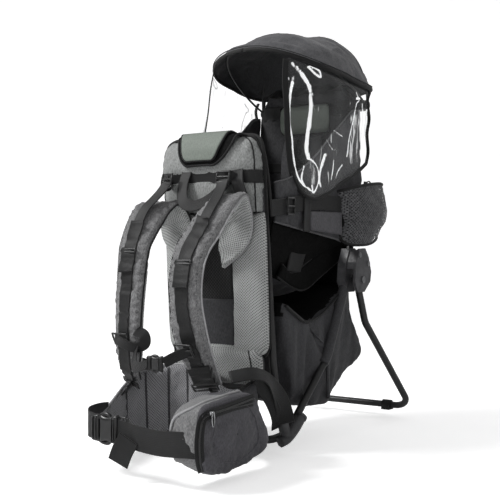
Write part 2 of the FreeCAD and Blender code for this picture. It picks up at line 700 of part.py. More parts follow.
# (angle, reach, face of the pivot eye) of the two rods
RIBS = ((24, 292, 140.5), (83, 168, 145))
CLIP_PLACE = 125
STUB_FACES = (137, -150)


def arch_points(angle, reach, half, start):
    """Points of one arch in the plane through the pivot line at an angle above forward."""
    forward = Vector(0, -math.cos(math.radians(angle)), math.sin(math.radians(angle)))
    points = []
    for i in range(ARCH_STEPS + 1):
        turn = math.pi * i / ARCH_STEPS
        across = math.copysign(abs(math.cos(turn)) ** ARCH_SIDE, math.cos(turn)) * half
        out = start + (reach - start) * abs(math.sin(turn)) ** ARCH_CROWN
        points.append(Vector(across, *CANOPY_PIVOT) + forward * out)
    return points


def canopy_arch(angle, reach):
    """Closed outline of the canopy cloth where one arch plane cuts it."""
    thick = size("canopy_thick")
    half = size("canopy_half")
    outer = arch_points(angle, reach, half, FAN_START)
    inner = arch_points(angle, reach - thick, half - thick, FAN_START)
    ring = outer + inner[::-1]
    return Part.makePolygon(ring + ring[:1])


def canopy_rib(angle, reach, eye_face):
    """Round rod from one pivot eye over to the other, with its two eyes."""
    points = arch_points(angle, reach - RIB_MARGIN, size("canopy_half") - RIB_MARGIN, RIB_START)
    points[0].x = eye_face + size("rib_eye_thick") / 2
    points[-1].x = -points[0].x
    spine = Part.BSplineCurve()
    spine.interpolate(points)
    rod = sweep_round(Part.Wire(spine.toShape()), size("rib_radius"))
    for sign in (1, -1):
        start = eye_face if sign > 0 else -eye_face - size("rib_eye_thick")
        at = Vector(start, *CANOPY_PIVOT)
        eye = Part.makeCylinder(size("rib_eye_radius"), size("rib_eye_thick"), at, X_AXIS)
        rod = rod.fuse(eye)
        bore = size("pin_radius") + size("running_gap")
        rod = rod.cut(Part.makeCylinder(bore, 60, at - X_AXIS * 25, X_AXIS))
    return rod


# rim of the canopy's side: top points (across, back, up) and the curtain's hem below each
CURTAIN = [((94, 92, 807), (128, 62, 566)), ((118, 112, 799), (142, 82, 520)),
           ((142, 146, 783), (150, 118, 511)), ((149, 188, 773), (151, 168, 531)),
           ((151, 246, 765), (152, 234, 562)), ((151, 300, 760), (152, 300, 590)),
           ((151, 330, 754), (152, 345, 606))]


def curtain_sheet():
    """Clear side curtain that hangs from the rim and wraps round its front corner."""
    sections = []
    for number, (top, hem) in enumerate(CURTAIN):
        before = Vector(*CURTAIN[max(number - 1, 0)][0])
        after = Vector(*CURTAIN[min(number + 1, len(CURTAIN) - 1)][0])
        run = (after - before).normalize()
        inward = run.cross(Z_AXIS).normalize() * -size("shield_thick")
        corners = [Vector(*top), Vector(*hem), Vector(*hem) + inward, Vector(*top) + inward]
        sections.append(Part.makePolygon(corners + corners[:1]))
    return Part.makeLoft(sections, True, True)


def build_canopy():
    dome = Part.makeLoft([canopy_arch(angle, reach) for angle, reach in CANOPY_FAN], True, True)
    shape_object("canopy_dome", dome)
    shape_object("canopy_ribs", Part.makeCompound([canopy_rib(*rib) for rib in RIBS]))
    curtain = curtain_sheet()
    shape_object("rain_shield_left", curtain)
    shape_object("rain_shield_right", mirrored(curtain))
    clips = []
    for side, sign in SIDES:
        block = box(f"clip_block_{side}", "dims.tube_diameter * 1.6", "dims.tube_diameter * 1.8",
                    "dims.tube_diameter * 1.5", sign * CLIP_PLACE, *CANOPY_PIVOT)
        start = STUB_FACES[0] if sign > 0 else STUB_FACES[1]
        stub = cylinder_x(f"clip_stub_{side}", "dims.pin_radius", "dims.pin_radius * 3.25", start,
                          *CANOPY_PIVOT)
        space = shape_object(f"clip_space_{side}", tube_clearance(SEAT_TUBE))
        clips.append(cut(f"clip_{side}", fuse(f"clip_body_{side}", [block, stub]), space))
    group("canopy_clips", clips)


# ---------------------------------------------------------------- build, check and write

NODES = (
    "back_frame_tube", "front_leg_tube", "rear_seat_tube", "kickstand_tube", "hinge_inner_left",
    "hinge_inner_right", "hinge_outer_left", "hinge_outer_right", "kickstand_pins", "hinge_rivets",
    "foot_sockets", "front_rubber_foot", "kickstand_rubber_feet", "back_board", "back_cover", "channel_mesh",
    "mesh_pad_left", "mesh_pad_right", "lumbar_pad", "upper_pocket", "pocket_flap", "haul_loop",
    "shoulder_pad_left", "shoulder_pad_right", "shoulder_webbings", "load_lifters", "ladder_locks",
    "sternum_sliders", "sternum_webbing", "sternum_buckle_female", "sternum_buckle_male", "hip_wing_left",
    "hip_wing_right", "hip_webbing_left", "hip_webbing_right", "hip_buckle_female", "hip_buckle_male",
    "hip_pouch", "zipper_tape", "zipper_slider", "zipper_pull", "stabiliser_webbings", "child_backrest",
    "headrest_pad", "seat_pan", "cockpit_panel", "child_harness", "side_wall_left", "side_wall_right",
    "mesh_pocket_left", "mesh_pocket_right", "side_ring_left", "side_ring_right", "storage_bag",
    "canopy_dome", "canopy_ribs", "canopy_clips", "rain_shield_left", "rain_shield_right",
)


def check_and_write():
    doc.recompute()
    faults = [item.Label for item in doc.Objects if {"Invalid", "Error"} & set(item.State)]
    if faults:
        raise RuntimeError(f"failed objects: {faults}")
    os.makedirs("parts", exist_ok=True)
    for label in NODES:
        part = doc.getObjectsByLabel(label)[0]
        if part.Shape.isNull() or not part.Shape.isValid() or not part.Shape.Solids:
            raise RuntimeError(f"{label}: no valid solid")
        part.Shape.exportStep(f"parts/{label}.step")


build_tubes()
build_knuckles()
build_feet()
build_back_panel()
build_shoulder_harness()
build_sternum_strap()
build_hip_belt()
build_child_seat()
build_canopy()
check_and_write()
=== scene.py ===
"""Fabric, webbing, finish, light and camera for the child carrier backpack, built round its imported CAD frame.

Shapes are given in millimetres of the row frame and written to Blender in metres.
+X is the wearer's left, +Y points back from the wearer to the child seat, +Z is up.
"""
import math

import bpy
import numpy as np
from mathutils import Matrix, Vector


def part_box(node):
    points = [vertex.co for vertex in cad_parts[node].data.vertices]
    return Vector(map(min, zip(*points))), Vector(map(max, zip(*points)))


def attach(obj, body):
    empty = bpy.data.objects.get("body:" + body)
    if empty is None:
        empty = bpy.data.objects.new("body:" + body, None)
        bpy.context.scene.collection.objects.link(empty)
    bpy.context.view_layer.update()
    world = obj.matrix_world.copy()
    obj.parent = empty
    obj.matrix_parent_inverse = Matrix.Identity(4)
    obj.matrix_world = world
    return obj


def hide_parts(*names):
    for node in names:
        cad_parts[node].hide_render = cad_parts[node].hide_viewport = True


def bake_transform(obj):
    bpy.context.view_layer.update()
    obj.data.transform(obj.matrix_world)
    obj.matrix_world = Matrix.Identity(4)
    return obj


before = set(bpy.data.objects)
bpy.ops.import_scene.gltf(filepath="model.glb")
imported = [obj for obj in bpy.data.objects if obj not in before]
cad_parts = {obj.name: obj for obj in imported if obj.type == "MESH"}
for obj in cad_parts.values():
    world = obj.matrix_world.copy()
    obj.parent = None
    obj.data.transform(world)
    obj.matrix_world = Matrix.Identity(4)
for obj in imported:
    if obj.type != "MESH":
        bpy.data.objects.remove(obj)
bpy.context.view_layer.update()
MM = 0.001
X_AXIS = np.array([1.0, 0.0, 0.0])
FRONT = np.array([0.0, -1.0, 0.0])
UP = np.array([0.0, 0.0, 1.0])
SIDES = (("left", 1), ("right", -1))


def node_box(name):
    """Lowest and highest corner of a CAD node in millimetres."""
    low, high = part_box(name)
    return np.array(low) / MM, np.array(high) / MM


def node_centre(name):
    low, high = node_box(name)
    return (low + high) / 2


# ---------------------------------------------------------------- materials

def linear(rgb):
    """Linear colour from 0 to 255 screen values."""
    return tuple((c / 255 / 12.92) if c <= 10 else ((c / 255 + 0.055) / 1.055) ** 2.4 for c in rgb) + (1.0,)


class Look:
    """A procedural material under construction. Patterns are placed in object space, in metres."""

    def __init__(self, name, rough, sheen=0.0, metal=0.0, specular=0.5):
        self.material = bpy.data.materials.new(name)
        self.material.use_nodes = True
        self.tree = self.material.node_tree
        self.tree.nodes.clear()
        self.output = self.node("ShaderNodeOutputMaterial")
        self.surface = self.node("ShaderNodeBsdfPrincipled", {
            "Roughness": rough, "Sheen Weight": sheen, "Sheen Roughness": 0.5, "Metallic": metal,
            "Specular IOR Level": specular})
        self.link(self.surface.outputs[0], self.output.inputs["Surface"])
        coordinates = self.node("ShaderNodeTexCoord")
        self.place = coordinates.outputs["Object"]
        self.weave = coordinates.outputs["UV"]
        self.normal = None

    def node(self, kind, inputs=None, **settings):
        made = self.tree.nodes.new(kind)
        for key, value in settings.items():
            setattr(made, key, value)
        for key, value in (inputs or {}).items():
            if hasattr(value, "is_output"):
                self.link(value, made.inputs[key])
            else:
                made.inputs[key].default_value = value
        return made

    def link(self, start, end):
        self.tree.links.new(start, end)

    def noise(self, scale, detail=3.0, distortion=0.0, stretch=None, kind="FBM"):
        source = self.place
        if stretch:
            source = self.node("ShaderNodeMapping", {"Vector": source, "Scale": stretch}).outputs[0]
        inputs = {"Vector": source, "Scale": scale, "Detail": detail, "Distortion": distortion}
        return self.node("ShaderNodeTexNoise", inputs, noise_type=kind).outputs["Fac"]

    def math(self, operation, first, second=0.0):
        return self.node("ShaderNodeMath", {0: first, 1: second}, operation=operation).outputs[0]

    def ramp(self, factor, stops):
        """Colour ramp with (position, linear colour) stops."""
        made = self.node("ShaderNodeValToRGB", {"Fac": factor})
        ramp = made.color_ramp
        while len(ramp.elements) < len(stops):
            ramp.elements.new(0.5)
        for element, (position, colour) in zip(ramp.elements, stops):
            element.position = position
            element.color = colour
        return made.outputs["Color"]

    def grey(self, factor, low, high, dark=0.0, light=1.0):
        return self.ramp(factor, [(low, (dark, dark, dark, 1)), (high, (light, light, light, 1))])

    def multiply(self, first, second, share=1.0):
        made = self.node("ShaderNodeMix", {0: share}, data_type="RGBA", blend_type="MULTIPLY")
        self.link(first, made.inputs[6])
        self.link(second, made.inputs[7])
        return made.outputs[2]

    def paint(self, colour):
        self.link(colour, self.surface.inputs["Base Color"])

    def bump(self, height, depth_mm, strength=1.0):
        inputs = {"Height": height, "Distance": depth_mm * MM, "Strength": strength}
        if self.normal:
            inputs["Normal"] = self.normal
        self.normal = self.node("ShaderNodeBump", inputs).outputs[0]
        self.link(self.normal, self.surface.inputs["Normal"])

    def bands(self, axis, pitch_mm, source=None):
        """0 to 1 wave along one axis of the pattern space."""
        parts = self.node("ShaderNodeSeparateXYZ", {0: source or self.place}).outputs
        return self.math("SINE", self.math("MULTIPLY", parts[axis], 2 * math.pi / (pitch_mm * MM)))


def woven(name, dark, light, grain=500, crease=1.0, rough=0.62, sheen=0.12, fade=0.25, shine=0.25):
    """Woven nylon or polyester: flecked yarn, slow fading, fine weave and sharp creases."""
    look = Look(name, rough, sheen, specular=shine)
    fleck = look.noise(grain, 4.0, stretch=(1.0, 1.0, 0.45))
    tone = look.ramp(fleck, [(0.32, linear(dark)), (0.68, linear(light))])
    worn = look.grey(look.noise(9, 5.0, 0.6), 0.3, 0.75, 1.0 - fade, 1.0)
    look.paint(look.multiply(tone, worn))
    look.bump(look.noise(17, 2.0, 1.6, kind="RIDGED_MULTIFRACTAL"), 2.6 * crease, 0.55)
    look.bump(look.noise(58, 3.0, 1.0), 1.1 * crease, 0.6)
    threads = look.math("MULTIPLY", look.bands(2, 1.3), look.math("ADD", look.bands(0, 1.3), look.bands(1, 1.3)))
    look.bump(threads, 0.09, 0.5)
    return look.material


def spacer(name, hole, ridge, pitch=4.2):
    """Ventilated spacer mesh: staggered holes in a soft light knit."""
    look = Look(name, 0.85, 0.3, specular=0.2)
    turned = look.node("ShaderNodeMapping", {"Vector": look.weave, "Rotation": (0.0, 0.0, math.radians(45))}).outputs[0]
    cells = look.node("ShaderNodeTexVoronoi", {"Vector": turned, "Scale": 1000 / pitch, "Randomness": 0.0},
                      voronoi_dimensions="2D")
    pore = look.grey(cells.outputs["Distance"], 0.2, 0.42)
    tone = look.ramp(pore, [(0.0, linear(hole)), (1.0, linear(ridge))])
    soft = look.grey(look.noise(16, 3.0), 0.3, 0.7, 0.78, 1.0)
    fuzz = look.grey(look.noise(700, 2.0), 0.3, 0.7, 0.86, 1.0)
    look.paint(look.multiply(look.multiply(tone, soft), fuzz))
    look.bump(pore, 0.7, 0.8)
    look.bump(look.noise(40, 2.0), 0.8, 0.4)
    return look.material


def ribbed(name, dark, light, pitch=2.4, rough=0.5):
    """Woven webbing or binding tape: ribs across its length, darker between them."""
    look = Look(name, rough, 0.05, specular=0.25)
    across = look.bands(0, pitch, look.weave)
    along = look.bands(1, 3.1, look.weave)
    rib = look.math("ADD", look.math("MULTIPLY", across, 0.35), look.math("MULTIPLY", along, 0.15))
    height = look.math("ADD", rib, 0.5)
    tone = look.ramp(height, [(0.1, linear(dark)), (0.95, linear(light))])
    worn = look.grey(look.noise(60, 4.0), 0.3, 0.75, 0.75, 1.0)
    look.paint(look.multiply(tone, worn))
    look.bump(height, 0.35, 0.8)
    look.bump(look.noise(45, 2.0, 0.5), 0.9, 0.35)
    return look.material


def moulded(name, dark, light, rough, grain=900, metal=0.0, depth=0.06):
    """Moulded plastic, rubber or painted metal with a fine skin and rubbed patches."""
    look = Look(name, rough, 0.0, metal, 0.5)
    worn = look.noise(35, 5.0, 0.4)
    look.paint(look.ramp(worn, [(0.35, linear(dark)), (0.72, linear(light))]))
    look.link(look.grey(look.noise(70, 3.0), 0.25, 0.75, rough * 0.8, min(1.0, rough * 1.25)),
              look.surface.inputs["Roughness"])
    look.bump(look.noise(grain, 2.0), depth, 0.6)
    return look.material


def netting(name, pitch=4.8):
    """Open net: a diagonal grid of cords on the YZ plane, clear between them."""
    look = Look(name, 0.7, 0.2, specular=0.3)
    look.paint(look.ramp(look.noise(200, 2.0), [(0.3, linear((44, 44, 46))), (0.7, linear((92, 92, 94)))]))
    turned = look.node("ShaderNodeMapping", {"Vector": look.place, "Rotation": (math.radians(45), 0, 0)}).outputs[0]
    cords = look.math("MAXIMUM", look.math("ABSOLUTE", look.bands(1, pitch * 2, turned)),
                      look.math("ABSOLUTE", look.bands(2, pitch * 2, turned)))
    solid = look.math("GREATER_THAN", cords, 0.62)
    gap = look.node("ShaderNodeBsdfTransparent")
    mix = look.node("ShaderNodeMixShader", {"Fac": solid})
    look.link(gap.outputs[0], mix.inputs[1])
    look.link(look.surface.outputs[0], mix.inputs[2])
    look.link(mix.outputs[0], look.output.inputs["Surface"])
    look.bump(cords, 0.5, 0.6)
    return look.material


def clear_film(name):
    """Clear vinyl: mostly see-through, with painted reflections along its folds and in stray streaks, drawn as a
    faintly glowing white film.
    """
    look = Look(name, 0.14, specular=0.8)
    look.surface.inputs["Base Color"].default_value = (0.9, 0.92, 0.93, 1.0)
    # Painted glow: wherever the film is not see-through it is a white surface that also emits light.
    look.surface.inputs["Emission Color"].default_value = (1.0, 1.0, 1.0, 1.0)
    look.surface.inputs["Emission Strength"].default_value = 0.35
    mark = look.node("ShaderNodeAttribute", attribute_name="shine").outputs["Fac"]
    streak = look.noise(40, 3.5, 1.4, stretch=(2.0, 2.0, 0.5))
    rough_edge = look.math("MULTIPLY", look.math("SUBTRACT", streak, 0.5), 1.5)
    bright = look.grey(look.math("ADD", mark, rough_edge), 0.42, 0.75)
    patch = look.math("MULTIPLY", bright, look.math("MINIMUM", look.math("ADD", mark, 0.12), 1.0))
    # Painted reflections: stray streaks from stretched noise, and a haze that is part real cloudiness and part painted
    # sheen growing towards grazing angles.
    stray = look.grey(look.noise(16, 2.0, 2.4, stretch=(2.4, 2.4, 0.4)), 0.66, 0.7, 0.0, 0.55)
    facing = look.node("ShaderNodeLayerWeight", {"Blend": 0.35}).outputs["Facing"]
    haze_and_sheen = look.math("ADD", look.math("MULTIPLY", facing, 0.06), 0.015)
    cover = look.math("MAXIMUM", look.math("MAXIMUM", patch, stray), haze_and_sheen)
    clear = look.node("ShaderNodeBsdfTransparent")
    mix = look.node("ShaderNodeMixShader", {"Fac": cover})
    look.link(clear.outputs[0], mix.inputs[1])
    look.link(look.surface.outputs[0], mix.inputs[2])
    look.link(mix.outputs[0], look.output.inputs["Surface"])
    look.bump(streak, 4.0, 0.8)
    return look.material


CHARCOAL = woven("charcoal_nylon", (46, 46, 48), (66, 66, 69), 420, 0.8, 0.6, 0.08)
PATCH = woven("side_panel_cloth", (68, 67, 70), (90, 89, 93), 420, 1.0, 0.65, 0.08)
POUCH = woven("pouch_nylon", (60, 59, 63), (84, 83, 88), 420, 0.8, 0.6, 0.08)
CANOPY = woven("canopy_nylon", (66, 66, 69), (88, 88, 91), 380, 1.9, 0.55, 0.1)
LINING = woven("dark_lining", (11, 11, 11), (24, 24, 24), 380, 1.2, 0.8, 0.0, 0.25, 0.06)
CANOPY_LINING = woven("canopy_lining", (38, 38, 40), (58, 58, 60), 380, 1.2, 0.7, 0.05)
POCKET = woven("pocket_melange", (112, 114, 113), (152, 154, 153), 480, 1.8, 0.78, 0.15, 0.15)
MELANGE = woven("grey_melange", (92, 92, 93), (138, 138, 139), 480, 1.7, 0.78, 0.15, 0.2)
GREEN = woven("grey_green_cloth", (104, 111, 104), (119, 126, 119), 500, 0.12, 0.6, 0.06, 0.08)
MESH = spacer("spacer_mesh", (98, 99, 99), (184, 186, 185))
WING_MESH = spacer("wing_mesh", (84, 84, 86), (150, 150, 153))
DARK_MESH = spacer("dark_spacer_mesh", (8, 8, 8), (26, 26, 27), 5.0)
WEBBING = ribbed("black_webbing", (8, 8, 8), (36, 36, 37))
BINDING = ribbed("binding_tape", (9, 9, 9), (28, 28, 29), 1.8, 0.6)
PIPING = ribbed("light_piping", (140, 140, 142), (184, 184, 186), 2.0, 0.6)
GREY_PIPING = ribbed("grey_piping", (70, 70, 72), (104, 104, 106), 2.0, 0.6)
THREAD = ribbed("dark_thread", (24, 24, 25), (60, 60, 62), 1.2, 0.7)
PLASTIC = moulded("moulded_plastic", (9, 9, 10), (24, 24, 25), 0.36)
HINGE_SHELL = moulded("hinge_shell", (46, 46, 48), (74, 74, 76), 0.5)
TUBE_PAINT = moulded("powder_coat", (14, 14, 15), (30, 30, 31), 0.40, 1400, 0.0, 0.04)
RUBBER = moulded("foot_rubber", (14, 14, 14), (30, 30, 30), 0.85, 500, 0.0, 0.15)
STEEL = moulded("pin_steel", (96, 97, 99), (140, 141, 143), 0.35, 1200, 0.9)
ZIP_METAL = moulded("zip_metal", (150, 151, 153), (205, 206, 208), 0.28, 1200, 0.9)
NET = netting("pocket_net")
FILM = clear_film("clear_vinyl")


# ---------------------------------------------------------------- shape helpers, all in millimetres

def spread(count, tight=0.5):
    """0 to 1 in count steps, drawn together towards both ends."""
    even = np.linspace(0, 1, count)
    return (1 - tight) * even + tight * (0.5 - 0.5 * np.cos(math.pi * even))


def spline(points, at):
    """Smooth curve through points, read at shares of its length."""
    p = np.array(points, float)
    padded_points = np.vstack([2 * p[0] - p[1], p, 2 * p[-1] - p[-2]])
    t = np.linspace(0, 1, 20, endpoint=False)[:, None]
    pieces = []
    for i in range(len(p) - 1):
        a, b, c, d = padded_points[i:i + 4]
        pieces.append(0.5 * (2 * b + (c - a) * t + (2 * a - 5 * b + 4 * c - d) * t ** 2
                             + (3 * b - a - 3 * c + d) * t ** 3))
    fine = np.vstack(pieces + [p[-1:]])
    run = np.concatenate([[0], np.cumsum(np.linalg.norm(np.diff(fine, axis=0), axis=1))])
    spots = np.asarray(at) * run[-1]
    return np.stack([np.interp(spots, run, fine[:, k]) for k in range(p.shape[1])], axis=-1)


def ruled(edges, rows, cols, tight=0.5):
    """Grid through two or more edge curves: rows run along them, columns across from the first to the last."""
    curves = [spline(edge, spread(rows, tight)) for edge in edges]
    if len(curves) == 2:
        share = spread(cols, tight)[None, :, None]
        return curves[0][:, None] * (1 - share) + curves[1][:, None] * share
    return np.stack([spline([curve[i] for curve in curves], spread(cols, tight)) for i in range(rows)])


def unit(v):
    return v / np.maximum(np.linalg.norm(v, axis=-1, keepdims=True), 1e-9)


def facing(grid):
    """Unit normals of a grid of points."""
    return unit(np.cross(np.gradient(grid, axis=1), np.gradient(grid, axis=0)))


def lengths(grid):
    """Distance from the first row and first column of each point of a grid."""
    down = np.zeros(grid.shape[:2])
    over = np.zeros(grid.shape[:2])
    down[1:] = np.cumsum(np.linalg.norm(np.diff(grid, axis=0), axis=2), axis=0)
    over[:, 1:] = np.cumsum(np.linalg.norm(np.diff(grid, axis=1), axis=2), axis=1)
    return down, over


def edge_round(grid, radius):
    """0 at the border of a grid and 1 from a radius inwards, along a quarter circle."""
    down, over = lengths(grid)
    profile = 1.0
    for distance in (down, down[-1:] - down, over, over[:, -1:] - over):
        inside = np.clip(distance / radius, 0, 1)
        profile = profile * np.sqrt(1 - (1 - inside) ** 2)
    return profile


def crumple(points, size, seed, along=None):
    """Soft creases between -1 and 1 from a few warped waves; along makes them run in one direction."""
    draw = np.random.default_rng(seed)
    total = np.zeros(points.shape[:-1])
    for _ in range(5):
        direction = draw.normal(size=3)
        if along is not None:
            direction = direction - np.array(along) * (direction @ np.array(along))
        direction = direction / np.linalg.norm(direction)
        warp = np.sin(points @ draw.normal(size=3) * 2.2 / size + draw.uniform(0, 6))
        wave = np.sin(points @ direction * 6.28 / (size * draw.uniform(0.7, 1.6)) + 1.3 * warp + draw.uniform(0, 6))
        total += 1 - 2 * np.abs(wave)
    return total / 5


def grid_part(grid, look, flip=False, index=None, uv=None):
    """A (points, faces, corner UVs, material) part from a grid."""
    rows, cols = grid.shape[:2]
    if index is None:
        index = np.arange(rows * cols).reshape(rows, cols)
    if uv is None:
        down, over = lengths(grid)
        uv = np.stack([down, over], axis=-1) * MM
    quads = [np.stack([a[:-1, :-1], a[1:, :-1], a[1:, 1:], a[:-1, 1:]], axis=2) for a in (index, uv)]
    faces = quads[0].reshape(-1, 4)
    corners = quads[1].reshape(-1, 4, 2)
    if flip:
        faces = faces[:, ::-1]
        corners = corners[:, ::-1]
    return grid.reshape(-1, 3), faces, corners, look


def inflate(points, faces, seams, grow=0.03, cap=6.0, pressure=4.0, weight=0.0, still=None):
    """Points of a sewn cover after a short cloth simulation: it is blown up between its seams and wrinkles.

    seams are the fixed points, still weakens the movement point by point and cap limits it.
    """
    corners = (points - points.mean(axis=0))[faces]
    if np.sum(corners[:, 0] * np.cross(corners[:, 1], corners[:, 2])) < 0:
        faces = faces[:, ::-1]
    mesh = bpy.data.meshes.new("cover")
    mesh.from_pydata((points * MM).tolist(), [], faces.tolist())
    cover = bpy.data.objects.new("cover", mesh)
    scene = bpy.context.scene
    scene.collection.objects.link(cover)
    cover.vertex_groups.new(name="seams").add([int(i) for i in seams], 1.0, "REPLACE")
    cloth = cover.modifiers.new("cloth", "CLOTH")
    cloth.point_cache.frame_start = 1
    cloth.point_cache.frame_end = 20
    cloth.collision_settings.use_collision = False
    fabric = cloth.settings
    fabric.quality = 5
    fabric.mass = 0.2
    fabric.tension_stiffness = 25
    fabric.compression_stiffness = 12
    fabric.shear_stiffness = 8
    fabric.bending_stiffness = 0.08
    fabric.air_damping = 2.0
    fabric.use_pressure = True
    fabric.uniform_pressure_force = pressure
    fabric.effector_weights.gravity = weight
    fabric.shrink_min = -grow
    fabric.vertex_group_mass = "seams"
    for step in range(1, 21):
        scene.frame_set(step)
    shaped = cover.evaluated_get(bpy.context.evaluated_depsgraph_get()).data
    settled = np.empty(len(points) * 3)
    shaped.vertices.foreach_get("co", settled)
    bpy.data.objects.remove(cover)
    bpy.data.meshes.remove(mesh)
    scene.frame_set(1)
    move = settled.reshape(-1, 3) / MM - points
    far = np.linalg.norm(move, axis=1, keepdims=True)
    move = move * (cap * np.tanh(far / cap) / np.maximum(far, 1e-9))
    if still is not None:
        move = move * still[:, None]
    return points + move


def padded(base, front, back, looks, radius=8.0, crown=0.0, relief=None, soft=None, quilt=()):
    """Closed pad on a base grid. It swells by front and back from one shared edge.

    soft holds the settings of a cloth simulation of its cover, and quilt the columns sewn down.
    """
    rows, cols = base.shape[:2]
    out = facing(base)
    swell = edge_round(base, radius)
    if crown:
        u = np.linspace(-1, 1, rows)[:, None]
        v = np.linspace(-1, 1, cols)[None, :]
        swell = swell * (1 - crown + crown * (1 - v ** 2) * (1 - u ** 4))
    top = base + out * (swell * front)[..., None]
    if relief is not None:
        top = top + out * (swell * relief(base))[..., None]
    under = base - out * (swell * back)[..., None]
    index = np.arange(rows * cols).reshape(rows, cols)
    inner = rows * cols + np.arange((rows - 2) * (cols - 2)).reshape(rows - 2, cols - 2)
    low = index.copy()
    low[1:-1, 1:-1] = inner
    down, over = lengths(base)
    uv = np.stack([down, over], axis=-1) * MM
    _, faces, corners, _ = grid_part(top, looks[0], True, index, uv)
    _, low_faces, low_corners, _ = grid_part(top, looks[-1], False, low, uv)
    points = np.vstack([top.reshape(-1, 3), under[1:-1, 1:-1].reshape(-1, 3)])
    if soft is not None:
        sewn = np.zeros((rows, cols), bool)
        sewn[[0, -1]] = True
        sewn[:, [0, -1]] = True
        for line in quilt:
            sewn[int(round(line * (rows - 1)))] = True
        points = inflate(points, np.vstack([faces, low_faces]), index[sewn], **soft)
        top = points[:rows * cols].reshape(rows, cols, 3)
    nothing = np.zeros((0, 3))
    return [(points, faces, corners, looks[0]), (nothing, low_faces - len(points), low_corners, looks[-1])], top


def transport(path, start):
    """A direction square to a path, carried along it without twisting."""
    tangents = unit(np.gradient(path, axis=0))
    side = np.array(start, float)
    carried = []
    for tangent in tangents:
        side = unit(side - tangent * (side @ tangent))
        carried.append(side)
    return tangents, np.array(carried)


def sweep(path, section, look, face=None):
    """Closed (across, out) section swept along a path, drawn in at both ends. face is where out points."""
    path = np.asarray(path, float)
    section = np.asarray(section, float)
    start = face if face is not None else (UP if abs(unit(path[1] - path[0])[2]) < 0.9 else X_AXIS)
    if face is not None and np.ndim(face) == 2:
        tangents = unit(np.gradient(path, axis=0))
        out = unit(face - tangents * np.sum(face * tangents, axis=1, keepdims=True))
    else:
        tangents, out = transport(path, start)
    across = np.cross(tangents, out)
    ends = np.concatenate([[0], np.full(len(path), 1.0), [0]])
    path = np.vstack([path[:1], path, path[-1:]])
    across = np.vstack([across[:1], across, across[-1:]])
    out = np.vstack([out[:1], out, out[-1:]])
    grid = (path[:, None] + across[:, None] * section[None, :, :1]
            + out[:, None] * section[None, :, 1:] * ends[:, None, None])
    rows, cols = grid.shape[:2]
    index = np.arange(rows * cols).reshape(rows, cols)
    index = np.hstack([index, index[:, :1]])
    closed = np.concatenate([grid, grid[:, :1]], axis=1)
    down, over = lengths(closed)
    _, faces, corners, _ = grid_part(closed, look, False, index, np.stack([down, over], axis=-1) * MM)
    return grid.reshape(-1, 3), faces, corners, look


def round_section(radius, flat=1.0, sides=8):
    turn = np.linspace(0, 2 * math.pi, sides, endpoint=False)
    return np.stack([np.cos(turn) * radius, np.sin(turn) * radius * flat], axis=1)


def tape_section(width, thick):
    """Section of a woven tape: flat faces, rounded edges and slightly thicker selvedges."""
    half = width / 2
    t = thick / 2
    upper = [(-half, 0.4 * t), (-half + 0.4, t), (-half + 1.8, 1.15 * t), (-half + 3, 0.9 * t), (0, t),
             (half - 3, 0.9 * t), (half - 1.8, 1.15 * t), (half - 0.4, t), (half, 0.4 * t)]
    return upper + [(x, -y) for x, y in reversed(upper)]


def cord(points, radius, look, count=40, flat=1.0, face=None):
    return sweep(spline(points, np.linspace(0, 1, count)), round_section(radius, flat), look, face)


def tape(points, width, thick, look=None, face=FRONT, count=36, ripple=0.0):
    """A length of webbing through points; ripple bends it a little out of flat."""
    path = spline(points, np.linspace(0, 1, count))
    if ripple:
        wave = np.sin(np.linspace(0, 1, count) * 11 + points[0][0]) * ripple
        path = path + np.outer(wave, unit(np.array(face, float) if np.ndim(face) == 1 else FRONT))
    return sweep(path, tape_section(width, thick), look or WEBBING, face)


def stitches(path, face, look=None, step=6.0, long=3.6, wide=0.9):
    """A row of raised stitches along a path."""
    path = np.asarray(path, float)
    run = np.concatenate([[0], np.cumsum(np.linalg.norm(np.diff(path, axis=0), axis=1))])
    parts = []
    for start in np.arange(step / 2, run[-1] - long, step):
        ends = [[np.interp(s, run, path[:, k]) for k in range(3)] for s in (start, start + long / 2, start + long)]
        out = face[np.argmin(np.abs(run - start))] if np.ndim(face) == 2 else face
        parts.append(sweep(np.array(ends), round_section(wide / 2, 0.8, 5), look or THREAD, out))
    return parts


def on_grid(grid, us, vs, lift):
    """Points at shares (us, vs) of a grid's rows and columns, lifted along its normals, with those normals."""
    rows, cols = grid.shape[:2]
    out = facing(grid)
    u = np.clip(np.asarray(us, float) * (rows - 1), 0, rows - 1.001)
    v = np.clip(np.asarray(vs, float) * (cols - 1), 0, cols - 1.001)
    i, j = u.astype(int), v.astype(int)
    fu, fv = (u - i)[:, None], (v - j)[:, None]
    read = [g[i, j] * (1 - fu) * (1 - fv) + g[i + 1, j] * fu * (1 - fv) + g[i, j + 1] * (1 - fu) * fv
            + g[i + 1, j + 1] * fu * fv for g in (grid, out)]
    normal = unit(read[1])
    return read[0] + normal * lift, normal


def flip_x(parts, squeeze=None):
    """The mirror image of parts across the middle plane."""
    turned = []
    for points, faces, corners, look in parts:
        mirrored = points * np.array([-1.0, 1.0, 1.0])
        if squeeze is not None and len(mirrored):
            mirrored = squeeze(mirrored)
        turned.append((mirrored, faces[:, ::-1], corners[:, ::-1], look))
    return turned


